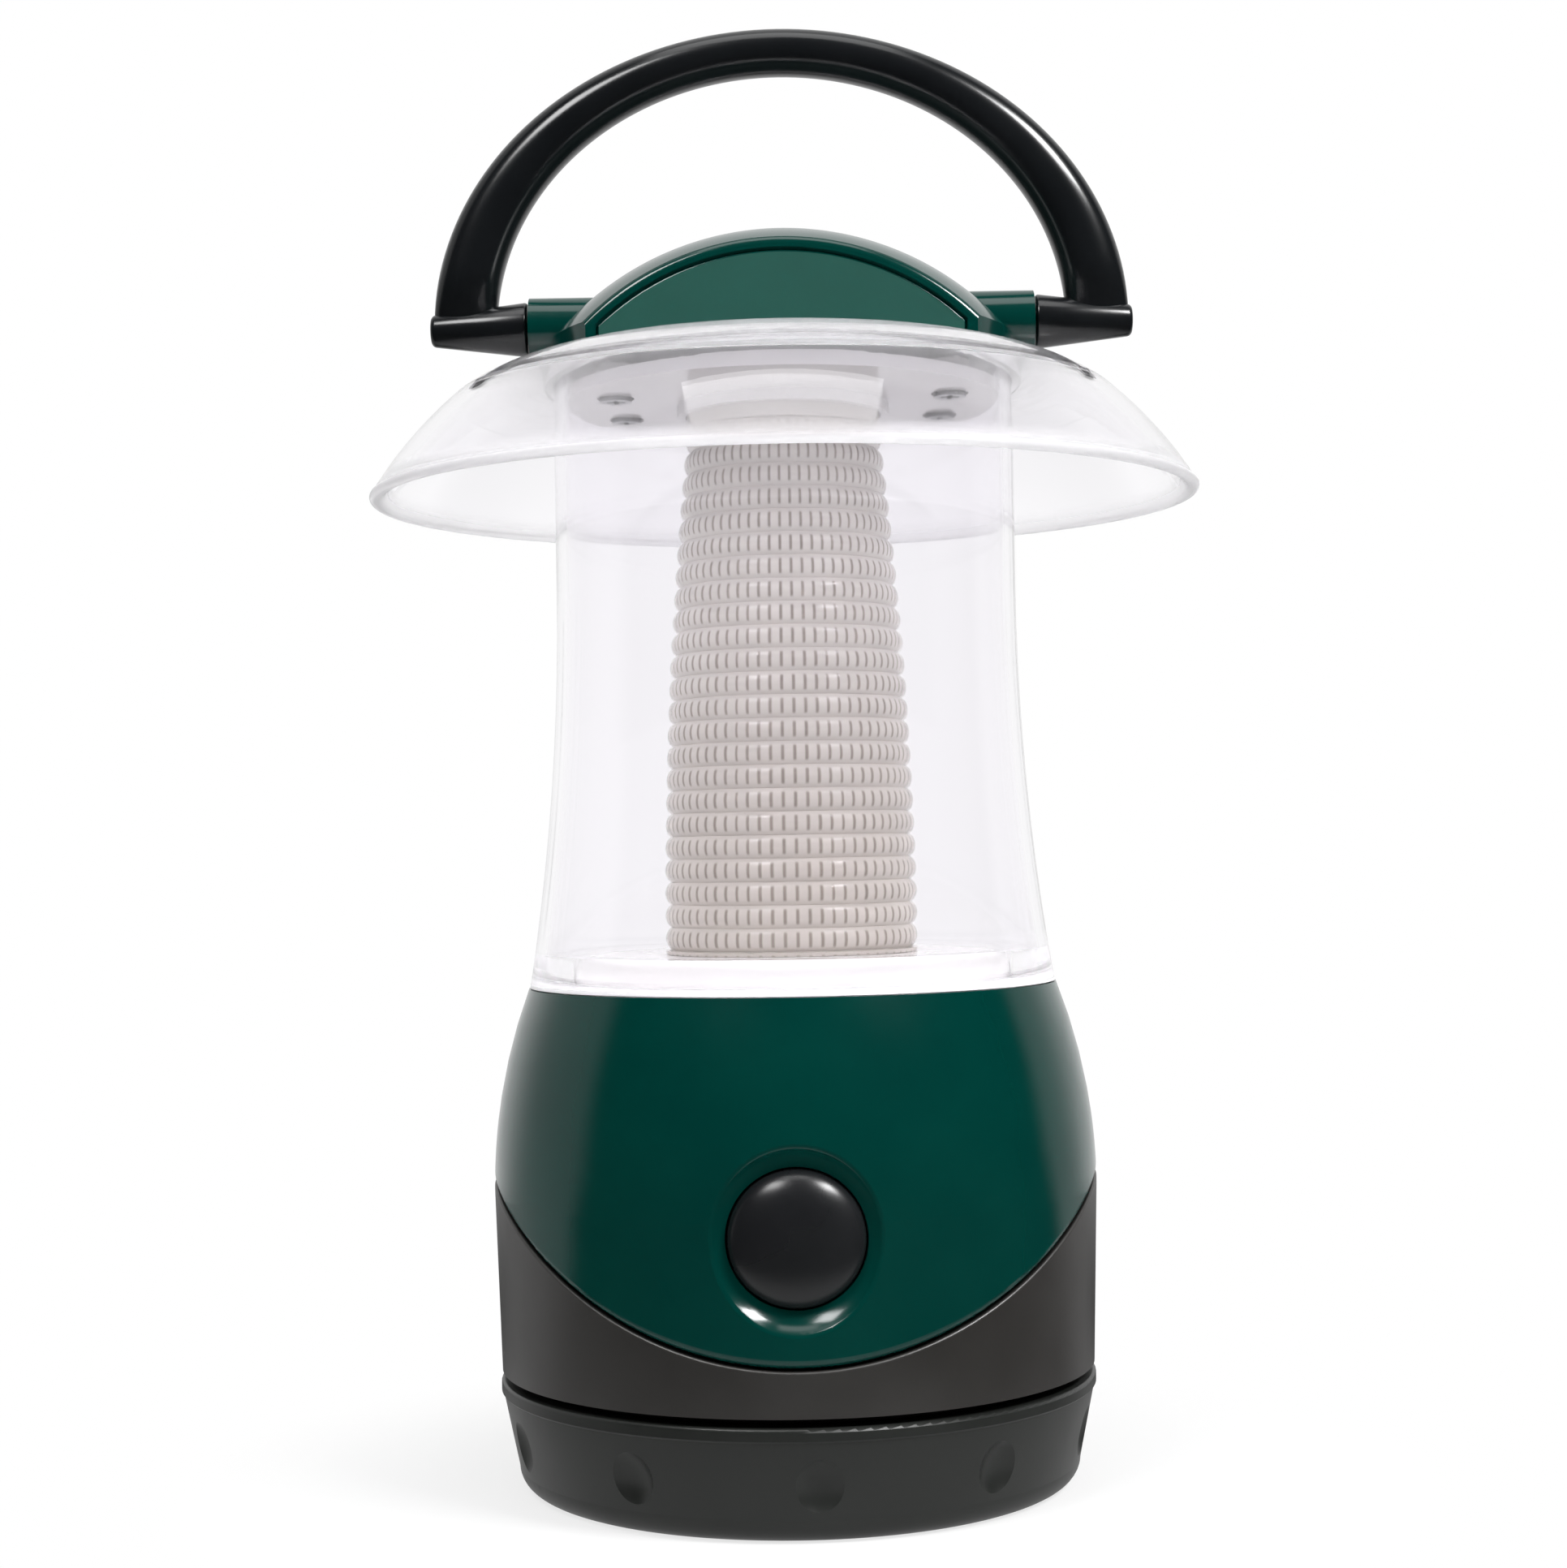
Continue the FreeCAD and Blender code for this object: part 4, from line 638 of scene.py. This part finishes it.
def button():
    # Domed cap, hollow behind, with a post for the plunger and a flange, turned about its axis
    outline = []
    for k in range(CROWN_STEPS + 1):
        lean = math.pi / 2 * k / CROWN_STEPS
        outline.append((BUTTON_R * math.sin(lean), BUTTON_FRONT - CROWN_DROP * (1 - math.cos(lean))))
    flange_front = BUTTON_BACK + FLANGE_T
    cavity = BUTTON_FRONT - BUTTON_SKIN
    cavity_r = BUTTON_R - FLANGE_T
    outline += [(BUTTON_R, flange_front), (FLANGE_R, flange_front), (FLANGE_R, BUTTON_BACK)]
    outline += [(cavity_r, BUTTON_BACK), (cavity_r, cavity), (BUTTON_POST_R, cavity)]
    outline += [(BUTTON_POST_R, BUTTON_BACK), (0, BUTTON_BACK)]
    verts = []
    for r, reach in outline:
        for i in range(BUTTON_COLUMNS):
            angle = TAU * i / BUTTON_COLUMNS
            verts.append((r * math.cos(angle), -reach, BUTTON_Z + r * math.sin(angle)))
    return piece_from("push_button", verts, grid_faces(len(outline), BUTTON_COLUMNS, True))


# Diffuser


def diffuser_r(z):
    share = (z - DIFF_FOOT) / (DIFF_RIB_TOP - DIFF_FOOT)
    return DIFF_R - (DIFF_R - DIFF_TOP_R) * share ** 2


def outer_rows():
    # Foot, rounded ribs and collar, as (radius, height)
    foot_r = diffuser_r(DIFF_FOOT)
    rows = [(foot_r, DIFF_FOOT), (foot_r, DIFF_RIB_FOOT - DIFF_FOOT_STEP)]
    for i in range(RIB_COUNT * RIB_STEPS + 1):
        z = DIFF_RIB_FOOT + RIB_PITCH * i / RIB_STEPS
        swell = math.sin(math.pi * (i % RIB_STEPS) / RIB_STEPS)
        rows.append((diffuser_r(z) - RIB_RELIEF * (1 - swell ** RIB_FULLNESS), z))
    return rows + [(DIFF_TOP_R, DIFF_RIB_TOP + DIFF_COLLAR_STEP), (DIFF_TOP_R, DIFF_TOP)]


def inner_rows():
    # Inner wall from the top down
    rows = []
    for k in range(DIFF_INNER_ROWS + 1):
        z = DIFF_TOP + (DIFF_FOOT - DIFF_TOP) * k / DIFF_INNER_ROWS
        wall_r = diffuser_r(min(z, DIFF_RIB_TOP)) - RIB_DEPTH - DIFF_WALL
        rows.append((min(wall_r, DIFF_TONGUE_IN), z))
    return rows


def ribbed_diffuser():
    # Rounded ribs round the tube, with upright flutes inside it
    tongue_z = low("diffuser").z
    tongue = [(DIFF_TONGUE_IN, tongue_z), (DIFF_TONGUE_R, tongue_z), (DIFF_TONGUE_R, DIFF_FOOT)]
    rows = [(r, z, 0) for r, z in outer_rows()]
    rows += [(r, z, FLUTE_DEPTH) for r, z in inner_rows()]
    rows += [(r, z, 0) for r, z in tongue]
    columns = FLUTES * FLUTE_STEPS
    verts = []
    for r, z, depth in rows:
        for i in range(columns):
            angle = TAU * i / columns
            swell = math.sin(math.pi * (i % FLUTE_STEPS) / FLUTE_STEPS)
            reach = r + depth * (1 - swell)
            verts.append((reach * math.cos(angle), reach * math.sin(angle), z))
    return piece_from("diffuser", verts, grid_faces(len(rows), columns, True), DIFF_SHARP_DEG)


dress(bail(), looks["black_plastic"], "handle", "black_plastic", "handle")
dress(button(), looks["button_plastic"], "button", "button_plastic", "push_button")
dress(ribbed_diffuser(), looks["diffuser_plastic"], "lantern", "diffuser_plastic", "diffuser")


# Studio: surroundings, floor, lamps and camera

FILL_LIGHT = 0.19
INNER_LIGHT = 3.4
CLEAR_FRONT = 0.8
LEFT_EDGE_DEG = 86
RIGHT_EDGE_DEG = 108
EDGE_SOFT_DEG = 6
WALL_LEVEL = 0.5
BACK_START_DEG = 115
BACK_FULL_DEG = 145
BACK_LEVEL = 0.85


def angle_round(tree, vector):
    # Angle from the front, in radians, positive to the right
    way = split_xyz(tree, vector)
    front = maths(tree, "MULTIPLY", way["Y"], -1)
    return maths(tree, "ARCTAN2", way["X"], front)


def past_edge(tree, angle, edge_deg):
    start, end = math.radians(edge_deg - EDGE_SOFT_DEG), math.radians(edge_deg + EDGE_SOFT_DEG)
    return rising(tree, angle, start, end)


def beside(tree, angle):
    # 1 towards the walls beside and behind the object, 0 towards the dark room in front of it
    on_left = past_edge(tree, maths(tree, "MULTIPLY", angle, -1), LEFT_EDGE_DEG)
    on_right = past_edge(tree, angle, RIGHT_EDGE_DEG)
    return maths(tree, "MAXIMUM", on_left, on_right)


def wall_light(tree, angle, back_level):
    # Grey walls beside the object that run into the pale one behind it
    start, end = math.radians(BACK_START_DEG), math.radians(BACK_FULL_DEG)
    behind = rising(tree, maths(tree, "ABSOLUTE", angle, 0), start, end)
    return maths(tree, "MULTIPLY", beside(tree, angle), blend_value(tree, behind, WALL_LEVEL, back_level))


def studio_world():
    # White to the eye and through clear plastic, with a dark room in front for reflections
    world = bpy.data.worlds.new("studio")
    world.use_nodes = True
    bpy.context.scene.world = world
    tree = world.node_tree
    back = tree.nodes["Background"]
    coords = tree.nodes.new("ShaderNodeTexCoord")
    path = tree.nodes.new("ShaderNodeLightPath")
    angle = angle_round(tree, coords.outputs["Generated"])
    level = blend_value(tree, path.outputs["Is Glossy Ray"], FILL_LIGHT, wall_light(tree, angle, BACK_LEVEL))
    lit = maths(tree, "MINIMUM", path.outputs["Diffuse Depth"], 1)
    through = blend_value(tree, beside(tree, angle), CLEAR_FRONT, 1.0)
    inside = blend_value(tree, lit, through, INNER_LIGHT)
    level = blend_value(tree, path.outputs["Is Transmission Ray"], level, inside)
    level = blend_value(tree, path.outputs["Is Camera Ray"], level, 1.0)
    tree.links.new(level, back.inputs["Strength"])
    back.inputs["Color"].default_value = (1, 1, 1, 1)


# Distances on the floor are from the object's axis, in metres
FLOOR_SIZE = 6.0
FLOOR_COLOUR = (0.9, 0.9, 0.9, 1)
FLOOR_ROUGH = 0.8
FLOOR_CLEAR = 0.048
FLOOR_FADE = 0.11
FLOOR_WHITE = 0.75
FLOOR_NEAR = 0.07
FLOOR_NEAR_END = 0.12
FLOOR_NEAR_LEVEL = 0.6
FLOOR_BACK = 0.2
FLOOR_BACK_END = 0.5


def floor_mirror(tree, spot, radius):
    # What gloss surfaces see in the floor: the walls' light, and a pale patch round the object
    near = falling(tree, radius, FLOOR_NEAR, FLOOR_NEAR_END)
    distant = rising(tree, radius, FLOOR_BACK, FLOOR_BACK_END)
    walls = wall_light(tree, angle_round(tree, spot), maths(tree, "MULTIPLY", distant, BACK_LEVEL))
    return maths(tree, "MAXIMUM", walls, maths(tree, "MULTIPLY", near, FLOOR_NEAR_LEVEL))


def floor_material():
    # Pale floor that shows the object's shadow near it and runs into the white surroundings further out
    material, tree, shader, coords = new_material("floor")
    shader.inputs["Base Color"].default_value = FLOOR_COLOUR
    shader.inputs["Roughness"].default_value = FLOOR_ROUGH
    shader.inputs["Specular IOR Level"].default_value = 0.0
    glow = tree.nodes.new("ShaderNodeEmission")
    mix = tree.nodes.new("ShaderNodeMixShader")
    path = tree.nodes.new("ShaderNodeLightPath")
    spot = coords.outputs["Object"]
    radius = length_of(tree, spot)
    through = path.outputs["Is Transmission Ray"]
    glossy = maths(tree, "MULTIPLY", path.outputs["Is Glossy Ray"], maths(tree, "SUBTRACT", 1, through))
    seen = maths(tree, "MAXIMUM", path.outputs["Is Camera Ray"], through)
    far = rising(tree, radius, FLOOR_CLEAR, FLOOR_FADE)
    white = maths(tree, "MULTIPLY", blend_value(tree, far, FLOOR_WHITE, 1.0), seen)
    tree.links.new(maths(tree, "MAXIMUM", white, glossy), mix.inputs["Fac"])
    mirrored = floor_mirror(tree, spot, radius)
    tree.links.new(blend_value(tree, glossy, 1.0, mirrored), glow.inputs["Strength"])
    tree.links.new(shader.outputs[0], mix.inputs[1])
    tree.links.new(glow.outputs[0], mix.inputs[2])
    tree.links.new(mix.outputs[0], tree.nodes["Material Output"].inputs["Surface"])
    return material


def studio_floor():
    mesh = bpy.data.meshes.new("floor")
    half = FLOOR_SIZE / 2
    corners = [(-half, -half, 0), (half, -half, 0), (half, half, 0), (-half, half, 0)]
    mesh.from_pydata(corners, [], [(0, 1, 2, 3)])
    mesh.materials.append(floor_material())
    floor = bpy.data.objects.new("floor", mesh)
    bpy.context.scene.collection.objects.link(floor)


AIM = Vector((0, 0, 0.12))
LAMP_DISTANCE = 1.1
# Name, degrees round from the front, degrees up, width and height in metres, power in watts
SOFTBOXES = (
    ("softbox_left", -34, 48, 0.34, 0.3, 5),
    ("softbox_right", 52, 45, 0.34, 0.26, 12),
    ("softbox_top", 0, 78, 0.6, 0.6, 3),
)


def studio_lamps():
    for name, around, up, width, height, power in SOFTBOXES:
        lamp = bpy.data.lights.new(name, "AREA")
        lamp.shape = "RECTANGLE"
        lamp.size = width
        lamp.size_y = height
        lamp.energy = power
        box = bpy.data.objects.new(name, lamp)
        turn, rise = math.radians(around), math.radians(up)
        way = Vector((math.sin(turn) * math.cos(rise), -math.cos(turn) * math.cos(rise), math.sin(rise)))
        box.location = AIM + way * LAMP_DISTANCE
        box.rotation_euler = (-way).to_track_quat("-Z", "Y").to_euler()
        bpy.context.scene.collection.objects.link(box)


def photo_camera():
    camera = bpy.data.cameras.new("camera")
    camera.sensor_fit = "HORIZONTAL"
    camera.sensor_width = SENSOR
    camera.lens = FOCAL_PX / PHOTO_W * SENSOR
    camera.shift_x = (PHOTO_W / 2 - EYE_PX[0]) / PHOTO_W
    camera.shift_y = (EYE_PX[1] - PHOTO_H / 2) / PHOTO_W
    camera.clip_start = CLIP_START
    eye = bpy.data.objects.new("camera", camera)
    level = Matrix.Rotation(math.radians(90), 4, "X") @ Matrix.Rotation(math.radians(ROLL_DEG), 4, "Z")
    eye.matrix_world = Matrix.Translation((0, -EYE_DISTANCE, EYE_HEIGHT)) @ level
    bpy.context.scene.collection.objects.link(eye)
    bpy.context.scene.camera = eye


# Bounces that light needs to pass the walls of the globe and the shade
CLEAR_BOUNCES = 24
GLOSSY_BOUNCES = 16


def studio_view():
    scene = bpy.context.scene
    scene.view_settings.view_transform = "Standard"
    scene.cycles.max_bounces = CLEAR_BOUNCES
    scene.cycles.glossy_bounces = GLOSSY_BOUNCES
    scene.cycles.transmission_bounces = CLEAR_BOUNCES


studio_world()
studio_floor()
studio_lamps()
photo_camera()
studio_view()

bpy.context.view_layer.update()
